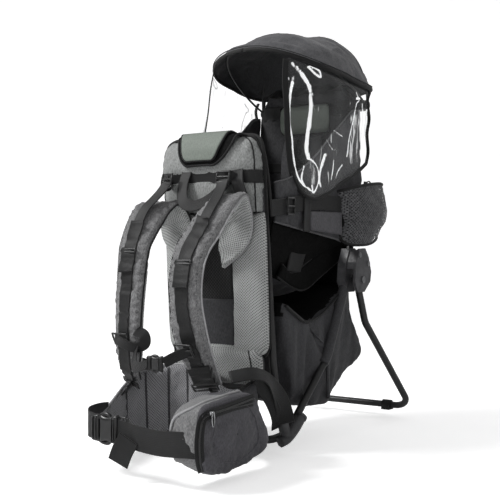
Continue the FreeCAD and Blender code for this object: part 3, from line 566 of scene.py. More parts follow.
def build(name, parts, body="pack", stands_for=(), blend=None):
    """One object from parts, riding a CAD body, or baked in place and riding none when blend is given."""
    points = []
    faces = []
    corners = []
    numbers = []
    looks = []
    offset = 0
    for part_points, part_faces, part_corners, look in parts:
        if look not in looks:
            looks.append(look)
        if len(part_points):
            points.append(part_points)
        faces.append(part_faces + offset)
        offset += len(part_points)
        corners.append(part_corners)
        numbers += [looks.index(look)] * len(part_faces)
    mesh = bpy.data.meshes.new(name)
    mesh.from_pydata((np.vstack(points) * MM).tolist(), [], np.vstack(faces).tolist())
    layer = mesh.uv_layers.new(name="weave")
    layer.data.foreach_set("uv", np.vstack([c.reshape(-1, 2) for c in corners]).astype(np.float32).ravel())
    mesh.polygons.foreach_set("material_index", numbers)
    mesh.polygons.foreach_set("use_smooth", [True] * len(numbers))
    for look in looks:
        mesh.materials.append(look)
    mesh.update()
    thing = bpy.data.objects.new(name, mesh)
    bpy.context.scene.collection.objects.link(thing)
    if blend:
        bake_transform(thing)
    else:
        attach(thing, body)
    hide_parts(*stands_for)
    return thing


# ---------------------------------------------------------------- finishes of the hard CAD parts

HARD_LOOKS = {
    TUBE_PAINT: ("back_frame_tube", "front_leg_tube", "rear_seat_tube", "kickstand_tube", "canopy_ribs"),
    HINGE_SHELL: ("hinge_inner_left", "hinge_inner_right", "hinge_outer_left", "hinge_outer_right", "foot_sockets"),
    PLASTIC: ("canopy_clips", "side_ring_left", "side_ring_right"),
    STEEL: ("kickstand_pins", "hinge_rivets"),
    RUBBER: ("front_rubber_foot", "kickstand_rubber_feet"),
}
for finish, names in HARD_LOOKS.items():
    for name in names:
        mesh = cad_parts[name].data
        mesh.materials.clear()
        mesh.materials.append(finish)


# ---------------------------------------------------------------- back panel

PANEL_LEAN = 0.055


def panel(x, forward, z):
    """Point on the leaning back panel; forward is its distance towards the wearer."""
    return (x, 8 - forward - PANEL_LEAN * (z - 20), z)


def outline(pairs, forward, sign=1):
    """Panel points from (half width, height) pairs."""
    return [panel(sign * half, forward, z) for half, z in pairs]


def make_back_panel():
    edge = [(96, 181), (116, 188), (124, 215), (128, 280), (129, 400), (128, 520), (125, 585), (112, 618), (84, 632)]
    base = ruled([outline(edge, 20, -1), outline(edge, 20)], 40, 26)
    shell, _ = padded(base, 5, 9, [CHARCOAL], 7)
    rim = outline(edge, 22, -1) + outline(edge[::-1], 22)
    build("back_shell", shell + [cord(rim, 3.4, BINDING, 110)],
          stands_for=("back_cover", "back_board"))

    channel = ruled([outline([(45, 190), (45, 480)], 24, -1), outline([(45, 190), (45, 480)], 24)], 30, 14)
    lining, face = padded(channel, 4, 2, [DARK_MESH, CHARCOAL], 4)
    lower = ruled([outline([(46, 200), (46, 300)], 28, -1), outline([(46, 200), (46, 300)], 28)], 20, 14)
    patch, _ = padded(lower, 3, 2, [CHARCOAL], 4, relief=lambda p: crumple(p, 60, 4) * 1.5)
    build("spine_channel", lining + patch, stands_for=("channel_mesh",))

    for side, sign in SIDES:
        inner = [(62, 187), (49, 200), (47, 240), (47, 430), (48, 478)]
        outer = [(104, 187), (124, 199), (130, 240), (131, 420), (128, 478)]
        edges = [outline(inner, 26, sign), outline(outer, 24, sign)]
        grid = ruled(edges if sign > 0 else edges[::-1], 60, 24)
        share = spread(24) if sign > 0 else 1 - spread(24)
        height = 24 - 11 * share[None, :] ** 1.3
        pad, _ = padded(grid, height - 2, 3, [MESH, CHARCOAL], 11, relief=lambda p: crumple(p, 90, 7) * 1.2,
                        soft={"grow": 0.015, "cap": 3.5})
        border = outline(inner[::-1], 26, sign) + outline(outer, 24, sign)
        build(f"vent_pad_{side}", pad + [cord(border, 2.4, BINDING, 90)],
              stands_for=(f"mesh_pad_{side}",))

    edge = [(104, 126), (112, 150), (113, 180), (106, 206)]
    base = ruled([outline(edge, 30, -1), outline(edge, 30)], 24, 40)
    pad, face = padded(base, 20, 14, [MESH, CHARCOAL], 14, crown=0.25, soft={"grow": 0.02, "cap": 5.0})
    seams = []
    for share in (0.12, 0.88):
        lean = share + (0.02 if share < 0.5 else -0.02) * np.linspace(-1, 1, 16)
        path, _ = on_grid(face, np.linspace(0.05, 0.95, 16), lean, 0.2)
        seams.append(sweep(path, round_section(1.6, 0.8), BINDING, FRONT))
    build("lumbar_cushion", pad + seams, stands_for=("lumbar_pad",))


POCKET_ROWS = [(478, 110, 22), (477, 117, 40), (481, 121, 53), (500, 123, 59), (540, 124, 61), (580, 124, 61),
               (604, 120, 58), (620, 110, 51), (630, 94, 40), (635, 72, 28)]


def pocket_grid(rows=44, cols=70):
    """Front and sides of the upper pocket: rows rise up the panel, columns run across its front."""
    table = spline(POCKET_ROWS, spread(rows, 0.4))
    turn = np.linspace(0, math.pi, cols)
    across = -np.sign(np.cos(turn)) * np.abs(np.cos(turn)) ** 0.55
    out = np.sin(turn) ** 0.62
    grid = np.zeros((rows, cols, 3))
    for i, (z, half, forward) in enumerate(table):
        x = across * half
        reach = 20 + (forward - 20) * out
        sag = 7 * np.exp(-(x / 45) ** 2) * max(0.0, 1 - i / 8)
        grid[i] = np.stack([x, 8 - reach - PANEL_LEAN * (z - 20), z - sag], axis=1)
    return grid


def make_pocket():
    grid = pocket_grid()
    fold = crumple(grid, 46, 3) * 1.8 + crumple(grid, 20, 5) * 0.8
    calm = edge_round(grid, 14)
    face = grid + facing(grid) * (fold * calm)[..., None]
    sheet = grid_part(face, POCKET, True)
    index = np.arange(face.shape[0] * face.shape[1]).reshape(face.shape[:2])
    seams = np.concatenate([index[0], index[-1], index[:, 0], index[:, -1], index[:, 10], index[:, 59]])
    band = np.clip(np.abs(face[..., 2] - 549) / 16, 0.15, 1).ravel()
    face = inflate(sheet[0], sheet[1], seams, 0.05, 5.0, 3.0, still=band).reshape(face.shape)
    parts = [(face.reshape(-1, 3),) + sheet[1:]]
    rise_share = np.interp(549, face[:36, 35, 2], np.linspace(0, 35 / 43, 36))
    mid, normals = on_grid(face, np.full(60, rise_share), np.linspace(0.02, 0.98, 60), 1.4)
    parts.append(sweep(mid, tape_section(27, 2), WEBBING, normals))
    for rise in (-12, 12):
        row = mid + UP * rise
        parts += stitches(row + normals * 1.2, normals)
    for share in (0.14, 0.86):
        path, out = on_grid(face, np.linspace(0.08, 0.9, 34), np.full(34, share), 0.4)
        parts.append(sweep(path, round_section(1.7, 0.8), BINDING, out))
    base, out = on_grid(face, np.full(60, 0.1), np.linspace(0.01, 0.99, 60), 0.6)
    parts.append(sweep(base, tape_section(9, 1.6), BINDING, out))
    for sign in (1, -1):
        rim = [(sign * x, y, z) for x, y, z in ((70, -32, 637), (100, -40, 634), (119, -46, 622), (126, -45, 596),
                                                 (128, -37, 560), (128, -29, 520), (127, -24, 478))]
        parts.append(cord(rim, 3.6, BINDING, 50))
    build("top_pocket", parts, stands_for=("upper_pocket",))

    under = [(-70, -48, 633), (-66, -74, 634), (-58, -88, 610), (-50, -92, 588), (-36, -93, 574)]
    over = [(-62, -48, 637), (-58, -76, 640), (-48, -93, 612), (-41, -97, 592), (-31, -97, 583)]
    lid = []
    for edge, look, thick, binding in ((under, LINING, 1.6, 2.6), (over, GREEN, 2.4, 2.2)):
        flare = 16 if look is LINING else 4
        mirror = [(-x + flare * (1 if z > 600 else 0.5 if z > 580 else 0), y, z) for x, y, z in edge]
        sheet, _ = padded(ruled([mirror, edge], 40, 30, 0.3), thick, 1.2, [look, CHARCOAL], 2.5,
                          relief=lambda p: crumple(p, 80, 9) * 0.5)
        lid += sheet
        last = [tuple(p) for p in np.linspace(edge[-1], mirror[-1], 5)[1:-1]]
        lid.append(cord(edge + last + mirror[::-1], binding, BINDING, 80))
    build("pocket_lid", lid, "flap", ("pocket_flap",))


def make_haul_loop():
    band = [(-38, -84, 566), (-40, -98, 532), (-28, -110, 500), (2, -115, 491), (32, -108, 502), (58, -96, 526),
            (76, -85, 556)]
    side = [(88, -83, 562), (95, -92, 536), (106, -93, 508)]
    parts = [tape(band, 25, 2.2, face=FRONT, count=50), tape(side, 24, 2, face=(0.3, -1, 0.1))]
    build("grab_loop", parts, stands_for=("haul_loop",))


# ---------------------------------------------------------------- shoulder straps

STRAP_OUTER = [(46, -70, 366), (80, -70, 390), (108, -71, 422), (116, -73, 456), (117, -82, 488), (121, -104, 508),
               (124, -148, 478), (124, -190, 432), (124, -224, 399), (124, -241, 366), (124, -246, 313),
               (122, -229, 255), (119, -210, 214), (114, -186, 176), (110, -166, 146)]
STRAP_INNER = [(40, -69, 366), (33, -70, 414), (36, -73, 456), (44, -86, 488), (50, -106, 505), (52, -140, 490),
               (52, -187, 450), (52, -222, 420), (52, -240, 391), (52, -251, 345), (52, -250, 311),
               (52, -242, 254), (54, -226, 214), (59, -202, 176), (64, -182, 146)]


FAR_OUTER = [(-46, -70, 366), (-80, -70, 390), (-108, -71, 422), (-116, -73, 456), (-118, -84, 482), (-123, -112, 496),
             (-125, -146, 488), (-125, -171, 458), (-125, -189, 422), (-125, -196, 396), (-125, -202, 321),
             (-125, -204, 241), (-123, -198, 182), (-116, -176, 140)]
FAR_INNER = [(-40, -69, 366), (-33, -70, 414), (-36, -73, 456), (-42, -84, 484), (-47, -102, 495), (-51, -126, 480),
             (-51, -148, 456), (-51, -171, 430), (-51, -192, 396), (-51, -207, 323), (-53, -213, 245),
             (-60, -205, 200), (-72, -196, 165), (-84, -178, 142)]


def pucker(grid, pitch=15.0, depth=2.0):
    """Small folds square to the long edges of a grid, strongest just inside the seams."""
    down, over = lengths(grid)
    inside = np.minimum(over, over[:, -1:] - over)
    band = np.exp(-((inside - 8) / 6) ** 2)
    drift = 1.6 * np.sin(down / 41 + over / 17) + 1.1 * np.sin(down / 23 + 2)
    side = np.where(over < over[:, -1:] / 2, 0.0, 2.1)
    fold = np.sin(down * 6.28 / pitch + drift + side)
    return depth * band * (fold + 0.5 * np.sin(down * 6.28 / (pitch * 0.61) + 2 * drift))


def strap_relief(points):
    return crumple(points, 34, 11) * 1.7 + crumple(points, 16, 12) * 0.8 + pucker(points)


def make_shoulder_strap(side, sign):
    outer, inner = (STRAP_OUTER, STRAP_INNER) if sign > 0 else (FAR_OUTER, FAR_INNER)
    grid = ruled([outer, inner][::sign], 200, 22, 0.3)
    pad, face = padded(grid, 8, 7, [MELANGE, MESH], 9, relief=strap_relief, soft={"grow": 0.07, "cap": 5.0})
    parts = list(pad)
    parts.append(cord(outer, 1.9, PIPING if sign > 0 else GREY_PIPING, 120))
    parts.append(cord(inner, 2.0, BINDING, 120))
    for share in (0.12, 0.88):
        path, out = on_grid(face, np.linspace(0.36, 0.96, 120), np.full(120, share), 0.1)
        parts += stitches(path, out)
    path, out = on_grid(face, np.linspace(0.44, 0.985, 90), np.full(90, 0.5), 2.0)
    path[:10] += np.linspace(10, 0, 10)[:, None] * out[:10]
    webbing = [sweep(path, tape_section(29, 2), WEBBING, out)]
    slide = np.argmin(np.abs(path[:, 2] - (380 if sign > 0 else 398)) + 400 * (path[:, 1] > -150))
    fold = slice(slide - 1, slide + 11)
    doubled = path[fold] + out[fold] * (2.4 + 3 * np.linspace(0, 1, 12)[:, None] ** 2)
    webbing.append(sweep(spline(doubled, np.linspace(0, 1, 24)), tape_section(33, 2.6), WEBBING, -unit(out[fold][6])))
    place = path[slide] + out[slide] * 3.5
    webbing += ladder(place, X_AXIS, unit(path[slide - 1] - path[slide + 1]), 36, 6, 2)
    if sign > 0:
        end = path[:, 2] < 184
        webbing.append(sweep(path[end] + out[end] * 2.6, tape_section(45, 2.4), WEBBING, out[end]))
        tail = [path[-1] + (2, 2, 3), (90, -162, 132), (88, -148, 116), (86, -130, 92)]
    else:
        tail = [path[-1], (-106, -176, 134), (-122, -168, 124), (-140, -160, 108), (-152, -150, 84)]
    webbing.append(tape(tail, 36, 2.2, face=(0.1 * sign, -0.75, 0.65)))
    build(f"shoulder_strap_{side}", parts, stands_for=(f"shoulder_pad_{side}",))
    return webbing


def ladder(centre, across, up, wide, tall, bars=3, look=None):
    """Webbing buckle: side rails joined by cross bars."""
    centre, across, up = (np.array(v, float) for v in (centre, across, up))
    across = unit(across)
    up = unit(up)
    out = np.cross(across, up)
    parts = []
    for end in (-1, 1):
        rail = [centre + across * end * wide / 2 + up * s * tall / 2 + out * (1 - s * s) for s in (-1, -0.4, 0.4, 1)]
        parts.append(sweep(np.array(rail), round_section(2.1, 0.9), look or PLASTIC, out))
    for level in np.linspace(-1, 1, bars):
        rise = centre + up * level * tall / 2 + out * 0.6 * (1 - abs(level))
        bar = [rise + across * s * (wide / 2 + 1) for s in (-1, -0.9, 0, 0.9, 1)]
        parts.append(sweep(np.array(bar), round_section(2.2, 0.8), look or PLASTIC, out))
    return parts


def make_harness():
    webbing = []
    for side, sign in SIDES:
        webbing += make_shoulder_strap(side, sign)
    build("strap_webbing", webbing, stands_for=("shoulder_webbings",))

    lifters = []
    for sign, line in ((1, [(71, -108, 544), (76, -122, 526), (82, -146, 504), (87, -176, 478), (88, -206, 442), (88, -216, 424)]),
                       (-1, [(71, -108, 544), (76, -122, 524), (81, -140, 506), (86, -162, 486), (88, -180, 458), (88, -192, 432)])):
        lifters.append(tape([(sign * x, y, z) for x, y, z in line], 26, 2, face=(0, -0.75, 0.65)))
        anchor = [(sign * 88, -84, 540), (sign * 80, -98, 548), (sign * 71, -106, 548)]
        lifters.append(tape(anchor, 24, 2, face=(0, -1, 0.3)))
        lifters += ladder((sign * 72, -110, 547), (1, 0.12 * sign, 0), (0, 0.25, 1), 28, 22, 3)
        ring = [(sign * 72 + 14 * math.cos(a), -111, 536 + 9 * math.sin(a)) for a in np.linspace(math.pi, 2 * math.pi, 9)]
        lifters.append(cord(ring, 1.6, PLASTIC, 20))
    build("lifter_webbing", lifters, stands_for=("load_lifters", "ladder_locks"))

    locks = ladder((89, -189, 141), (1, 0.25, 0.12), (0, -0.6, 0.8), 50, 15, 3)
    locks += ladder((-106, -181, 134), (1, -0.1, -0.3), (0, -0.5, 0.85), 42, 10, 3)
    for x, y, z in ((71, -110, 534), (-71, -110, 534)):
        ring = [(x + 13 * math.cos(a), y, z + 10 * math.sin(a)) for a in np.linspace(math.pi, 2 * math.pi, 9)]
        locks.append(cord(ring, 1.7, PLASTIC, 24))
    build("strap_buckles", locks)


# ---------------------------------------------------------------- side release buckles and the chest strap

def release_buckle(centre, length, height, thick):
    """(receiver parts, plug parts) of a side release buckle; the plug points along +X into the receiver."""
    x, y, z = centre
    half = height / 2
    shell = []
    top = [(x - length / 2, y, z + half * 0.94), (x - length * 0.1, y, z + half * 0.8), (x + length / 2, y, z + half * 0.98)]
    low = [(a, b, 2 * z - c) for a, b, c in top]
    plate, face = padded(ruled([low, top], 18, 14), thick / 2, thick / 2, [PLASTIC], thick / 2.2)
    for part in plate:
        shell.append(part)
    for step in (0.24, 0.36):
        spot = x + length * step
        bar = [(spot, y - thick * 0.52, z - half * 0.8), (spot, y - thick * 0.6, z), (spot, y - thick * 0.52, z + half * 0.8)]
        shell.append(cord(bar, thick * 0.1, PLASTIC, 8))
    plug = []
    for end in (-1, 1):
        prong = [(x - length * 0.72, y, z + end * half * 0.5), (x - length * 0.45, y, z + end * half * 0.84),
                 (x - length * 0.1, y, z + end * half * 0.9), (x + length * 0.12, y, z + end * half * 0.62)]
        plug.append(cord(prong, thick * 0.3, PLASTIC, 14))
    root_top = [(x - length * 0.95, y, z + half * 0.86), (x - length * 0.55, y, z + half * 0.9)]
    root_low = [(a, b, 2 * z - c) for a, b, c in root_top]
    root, _ = padded(ruled([root_low, root_top], 10, 12), thick * 0.42, thick * 0.42, [PLASTIC], thick / 2.6)
    plug += root
    for step in (-0.86, -0.68):
        spot = x + length * step
        bar = [(spot, y - thick * 0.45, z - half * 0.75), (spot, y - thick * 0.52, z), (spot, y - thick * 0.45, z + half * 0.75)]
        plug.append(cord(bar, thick * 0.1, PLASTIC, 8))
    return shell, plug


def make_chest_strap():
    tilt = np.array([0, -0.455, 0.89])
    sliders = []
    for x, y, z in ((88, -253, 216), (-92, -227, 226)):
        sliders += ladder((x, y, z), X_AXIS, tilt, 37, 24, 3)
    build("chest_sliders", sliders, "chest_strap", ("sternum_sliders",))
    centre = node_centre("sternum_buckle_female")
    receiver, plug = release_buckle(centre, 26, 32, 9)
    build("chest_receiver", receiver, "chest_strap", ("sternum_buckle_female",))
    build("chest_plug_body", plug, "chest_plug", ("sternum_buckle_male",))
    near = [(104, -246, 218), (86, -257, 210), (74, -268, 203), (62, -280, 194)]
    webbing = [tape(near, 21, 2, face=(0, -0.89, -0.45))]
    loose = [(-106, -229, 226), (-86, -233, 220), (-70, -231, 214), (-54, -224, 211), (-38, -218, 219), (-40, -218, 236),
             (-60, -221, 244)]
    webbing.append(tape(loose, 21, 2, face=(0.2, -0.95, -0.2), count=60))
    build("chest_webbing", webbing, "chest_strap", ("sternum_webbing",))
    far = [(-58, -222, 208), (-46, -240, 190), (-24, -262, 180), (2, -276, 183), (24, -282, 190)]
    build("chest_webbing_far", [tape(far, 21, 2, face=(0, -0.95, -0.3))],
          blend=("chest_strap", "chest_plug", (-50 * MM, -0.24, 0.19), (10 * MM, -0.28, 0.19)))


# ---------------------------------------------------------------- hip belt

BELT_TOP = [(122, -306, 104), (140, -244, 116), (147, -170, 134), (138, -104, 146), (104, -68, 132), (50, -60, 122),
            (0, -57, 146), (-50, -58, 164), (-104, -66, 158), (-136, -104, 150), (-145, -150, 128), (-136, -204, 98),
            (-116, -256, 80)]
BELT_LOW = [(122, -306, 40), (140, -244, 24), (147, -170, 16), (138, -104, 16), (104, -66, 20), (50, -58, 24),
            (0, -56, 26), (-50, -58, 24), (-104, -66, 18), (-136, -104, 8), (-145, -150, 4), (-136, -204, 14),
            (-116, -256, 34)]


def make_hip_belt():
    grid = ruled([BELT_LOW, BELT_TOP], 110, 24, 0.2)
    columns = (0.36, 0.60, 0.665, 0.74, 0.83)
    pad, face = padded(grid, 8, 8, [WING_MESH, CHARCOAL], 10, relief=lambda p: crumple(p, 60, 21) * 1.2,
                       soft={"grow": 0.03, "cap": 5.0}, quilt=columns)
    outer, under = pad
    parts = [outer, under, cord(BELT_TOP[:8], 3.0, BINDING, 100), cord(BELT_TOP[7:], 2.6, PIPING, 90),
             cord(BELT_LOW, 3.0, BINDING, 140)]
    for share in columns:
        path, out = on_grid(face, np.full(20, share), np.linspace(0.04, 0.96, 20), 0.3)
        parts.append(sweep(path, tape_section(5, 1.0), CHARCOAL, out))
    build("hip_belt_pad", parts, stands_for=("hip_wing_left", "hip_wing_right"))

    centre = node_centre("hip_buckle_female")
    receiver, plug = release_buckle(centre, 44, 58, 14)
    receiver += ladder(centre + np.array([34, 0, -3]), UP, -X_AXIS, 54, 20, 3)
    build("belt_receiver", receiver, "pack", ("hip_buckle_female",))
    build("belt_plug_body", plug, "belt_plug", ("hip_buckle_male",))
    band = [(187, -341, 66), (168, -345, 66), (140, -346, 64), (100, -344, 62), (50, -340, 64), (22, -337, 68),
            (0, -336, 70)]
    webbing = [tape(band, 46, 2.2, face=FRONT, count=60)]
    webbing.append(tape([(36, -346, 62), (24, -350, 40), (12, -349, 16)], 42, 2.4, face=(0.3, -1, 0)))
    build("belt_webbing_left", webbing, stands_for=("hip_webbing_left",))
    far = [(-52, -334, 72), (-66, -333, 74), (-84, -326, 76), (-104, -300, 78), (-114, -264, 78), (-126, -230, 74)]
    build("belt_webbing_right", [tape(far, 50, 2.2, face=(-0.5, -0.9, 0), count=40)],
          stands_for=("hip_webbing_right",),
          blend=("belt_plug", "pack", (-66 * MM, -0.33, 0.074), (-118 * MM, -0.25, 0.078)))

    straps = []
    for sign in (1, -1):
        first = [(118, -150, 158), (150, -118, 164), (160, -84, 152), (161, -48, 118), (157, -20, 80), (151, -4, 52)]
        faces = turning([(0.2, -0.5, 0.85), (0.6, -0.3, 0.7), (0.7, -0.6, 0.4), (0.6, -0.8, 0.2)], 40)
        straps.append(sweep(spline([(sign * x, y, z) for x, y, z in first], np.linspace(0, 1, 40)),
                            tape_section(36, 2.2), WEBBING, faces * np.array([sign, 1, 1])))
        second = [(150, -112, 150), (154, -70, 112), (146, -30, 70), (132, -8, 40)]
        straps.append(tape([(sign * x, y, z) for x, y, z in second], 25, 2, face=(0.5 * sign, -0.8, 0.2)))
    build("stabiliser_straps", straps, stands_for=("stabiliser_webbings",))


def turning(faces, count):
    """Face directions turning smoothly along a path."""
    return unit(spline(faces, np.linspace(0, 1, count)))


POUCH_OUTER = [(-340, 60), (-342, 100), (-338, 130), (-280, 139), (-215, 142), (-186, 134), (-158, 103), (-138, 66),
               (-135, 42), (-168, 19), (-261, 8), (-326, 20)]
POUCH_INNER = [(-335, 44), (-339, 66), (-339, 92), (-324, 120), (-272, 135), (-215, 138), (-180, 126), (-158, 100), (-140, 66),
               (-137, 44), (-168, 24), (-261, 14), (-324, 28)]


def closed_curve(points, count):
    """Evenly spaced points of a smooth closed curve."""
    ring = list(points[-2:]) + list(points) + list(points[:3])
    share = np.linspace(0, 1, 40 * len(ring))
    fine = spline(ring, share)
    start = np.argmin(np.linalg.norm(fine - np.array(points[0]), axis=1)[:len(fine) // 2])
    later = np.linalg.norm(fine - np.array(points[0]), axis=1)
    later[:len(fine) // 2] = 1e9
    stop = np.argmin(later)
    return spline(fine[start:stop + 1], np.linspace(0, 1, count + 1))[:-1]


def ring_part(rings, look, flip=False):
    """Part from closed rings of equal length."""
    grid = np.stack(rings)
    rows, cols = grid.shape[:2]
    index = np.arange(rows * cols).reshape(rows, cols)
    index = np.hstack([index, index[:, :1]])
    closed = np.concatenate([grid, grid[:, :1]], axis=1)
    down, over = lengths(closed)
    _, faces, corners, _ = grid_part(closed, look, flip, index, np.stack([down, over], axis=-1) * MM)
    return grid.reshape(-1, 3), faces, corners, look


def pouch_rings():
    inner = closed_curve(POUCH_INNER, 96)
    outer = closed_curve(POUCH_OUTER, 96)
    rings = []
    middle = outer.mean(axis=0)
    for x, share, scale in ((128, 0, 0.1), (128, 0, 0.6), (128, 0, 0.95), (132, 0.05, 1.0), (150, 0.4, 1.015), (172, 0.75, 1.02),
                            (190, 0.95, 1.01), (197, 1, 0.99), (199.5, 1, 0.965), (200.2, 1, 0.9), (201.5, 1, 0.7),
                            (202.5, 1, 0.45), (203, 1, 0.2), (203, 1, 0.02)):
        plan = middle + ((inner * (1 - share) + outer * share) - middle) * scale
        rings.append(np.column_stack([np.full(len(plan), x), plan]))
    dense = np.stack([spline(np.stack(rings)[:, j], np.linspace(0, 1, 60)) for j in range(len(inner))], axis=1)
    return dense


def retouch(part, chosen, look):
    """The part as two, with the faces whose centres are chosen given another material."""
    points, faces, corners, first = part
    mask = chosen(points[faces].mean(axis=1))
    return [(points, faces[~mask], corners[~mask], first),
            (np.zeros((0, 3)), faces[mask] - len(points), corners[mask], look)]


def make_pouch():
    grid = pouch_rings()
    out = facing(grid)
    centre = np.array([165, -240, 75])
    if np.mean(np.sum(out * (grid - centre), axis=2)) < 0:
        out = -out
    fold = crumple(grid, 70, 31, along=(0, 0.35, -0.94)) * 2.6 + crumple(grid, 30, 32) * 1.0
    quiet = np.clip((118 - grid[..., 2]) / 20, 0.1, 1) * np.clip((grid[..., 0] - 130) / 20, 0, 1)
    grid = grid + out * (fold * quiet)[..., None] * np.array([0.8, 1, 1])
    cover = ring_part(list(grid), POUCH, True)
    flat = grid.reshape(-1, 3)
    calm = np.clip((122 - flat[:, 2]) / 30, 0, 1) * np.clip((flat[:, 0] - 126) / 14, 0, 1)
    edge_row = np.argmin(np.abs(grid[:, 0, 0] - 199))
    rows, cols = grid.shape[:2]
    seams = np.concatenate([np.arange(cols), edge_row * cols + np.arange(cols)])
    shaped = inflate(flat, cover[1], seams, 0.035, 6.0, 4.0, still=calm)
    cover = (shaped,) + cover[1:]
    parts = retouch(cover, lambda p: (p[:, 0] < 190) & (p[:, 1] < -250), MELANGE)
    arc = [(126, -336, 66), (132, -340, 100), (146, -341, 122), (168, -338, 136), (178, -316, 141), (182, -270, 144),
           (180, -220, 144), (172, -176, 138)]
    arc = spline(arc, np.linspace(0, 1, 12))
    arc = shaped[np.argmin(np.linalg.norm(arc[:, None] - shaped[None], axis=2), axis=1)]
    parts.append(cord(arc + unit(arc - centre) * 1.6, 2.4, PIPING, 70))
    seam = shaped[edge_row * cols + np.arange(cols + 1) % cols]
    parts.append(cord(seam, 1.5, POUCH, 140))
    corner = [(201, -188, 131), (202, -230, 127), (203, -290, 122), (202.5, -322, 120), (199, -340, 112),
              (196, -345, 80), (194, -341, 44), (190, -328, 20)]
    faces = turning([(1, 0, 0), (1, 0, 0), (1, -0.1, 0), (0.9, -0.5, 0), (0.8, -0.7, 0), (0.8, -0.7, 0)], 60)
    path = spline(corner, np.linspace(0, 1, 60))
    parts.append(sweep(path, tape_section(17, 1.8), BINDING, faces))
    parts.append(sweep(path + faces * 1.2, round_section(2.0, 0.7), PLASTIC, faces))
    build("hip_pouch_bag", parts, stands_for=("hip_pouch",))
    low, high = node_box("zipper_tape")
    middle = (low + high) / 2
    line = [(high[0], low[1], middle[2]), (high[0] + 0.4, middle[1], middle[2]), (high[0], high[1], middle[2])]
    teeth = cord([(x + 0.6, y, z) for x, y, z in line], 1.9, PLASTIC, 60, 0.7)
    build("zip_band", [tape(line, 12, 1.4, BINDING, X_AXIS), teeth], stands_for=("zipper_tape",))
    spot = node_centre("zipper_slider")
    body, _ = padded(ruled([[spot + (0, -6, -3.6), spot + (0, 6, -2.4)], [spot + (0, -6, 3.6), spot + (0, 6, 2.4)]], 10, 8),
                     2.2, 2.2, [ZIP_METAL], 2.0)
    bridge = cord([spot + (0.5, -4, 0), spot + (3.2, -1, 0), spot + (3.0, 2, 0), spot + (0.5, 4, 0)], 0.9, ZIP_METAL, 14)
    build("zip_slider_body", body + [bridge], "zip_slider", ("zipper_slider",))
    top = node_centre("zipper_pull") + (0, 0, 12)
    loop = [top + (0, 3.4 * math.sin(a), -13 - 13 * math.cos(a)) for a in np.linspace(0, 2 * math.pi, 20)]
    build("zip_pull_ring", [cord(loop, 1.2, ZIP_METAL, 40), cord([top + (0, 0, -10), top + (0, 0, -25)], 2.4, RUBBER, 10, 0.6)],
          "zip_pull", ("zipper_pull",))


# ---------------------------------------------------------------- child seat

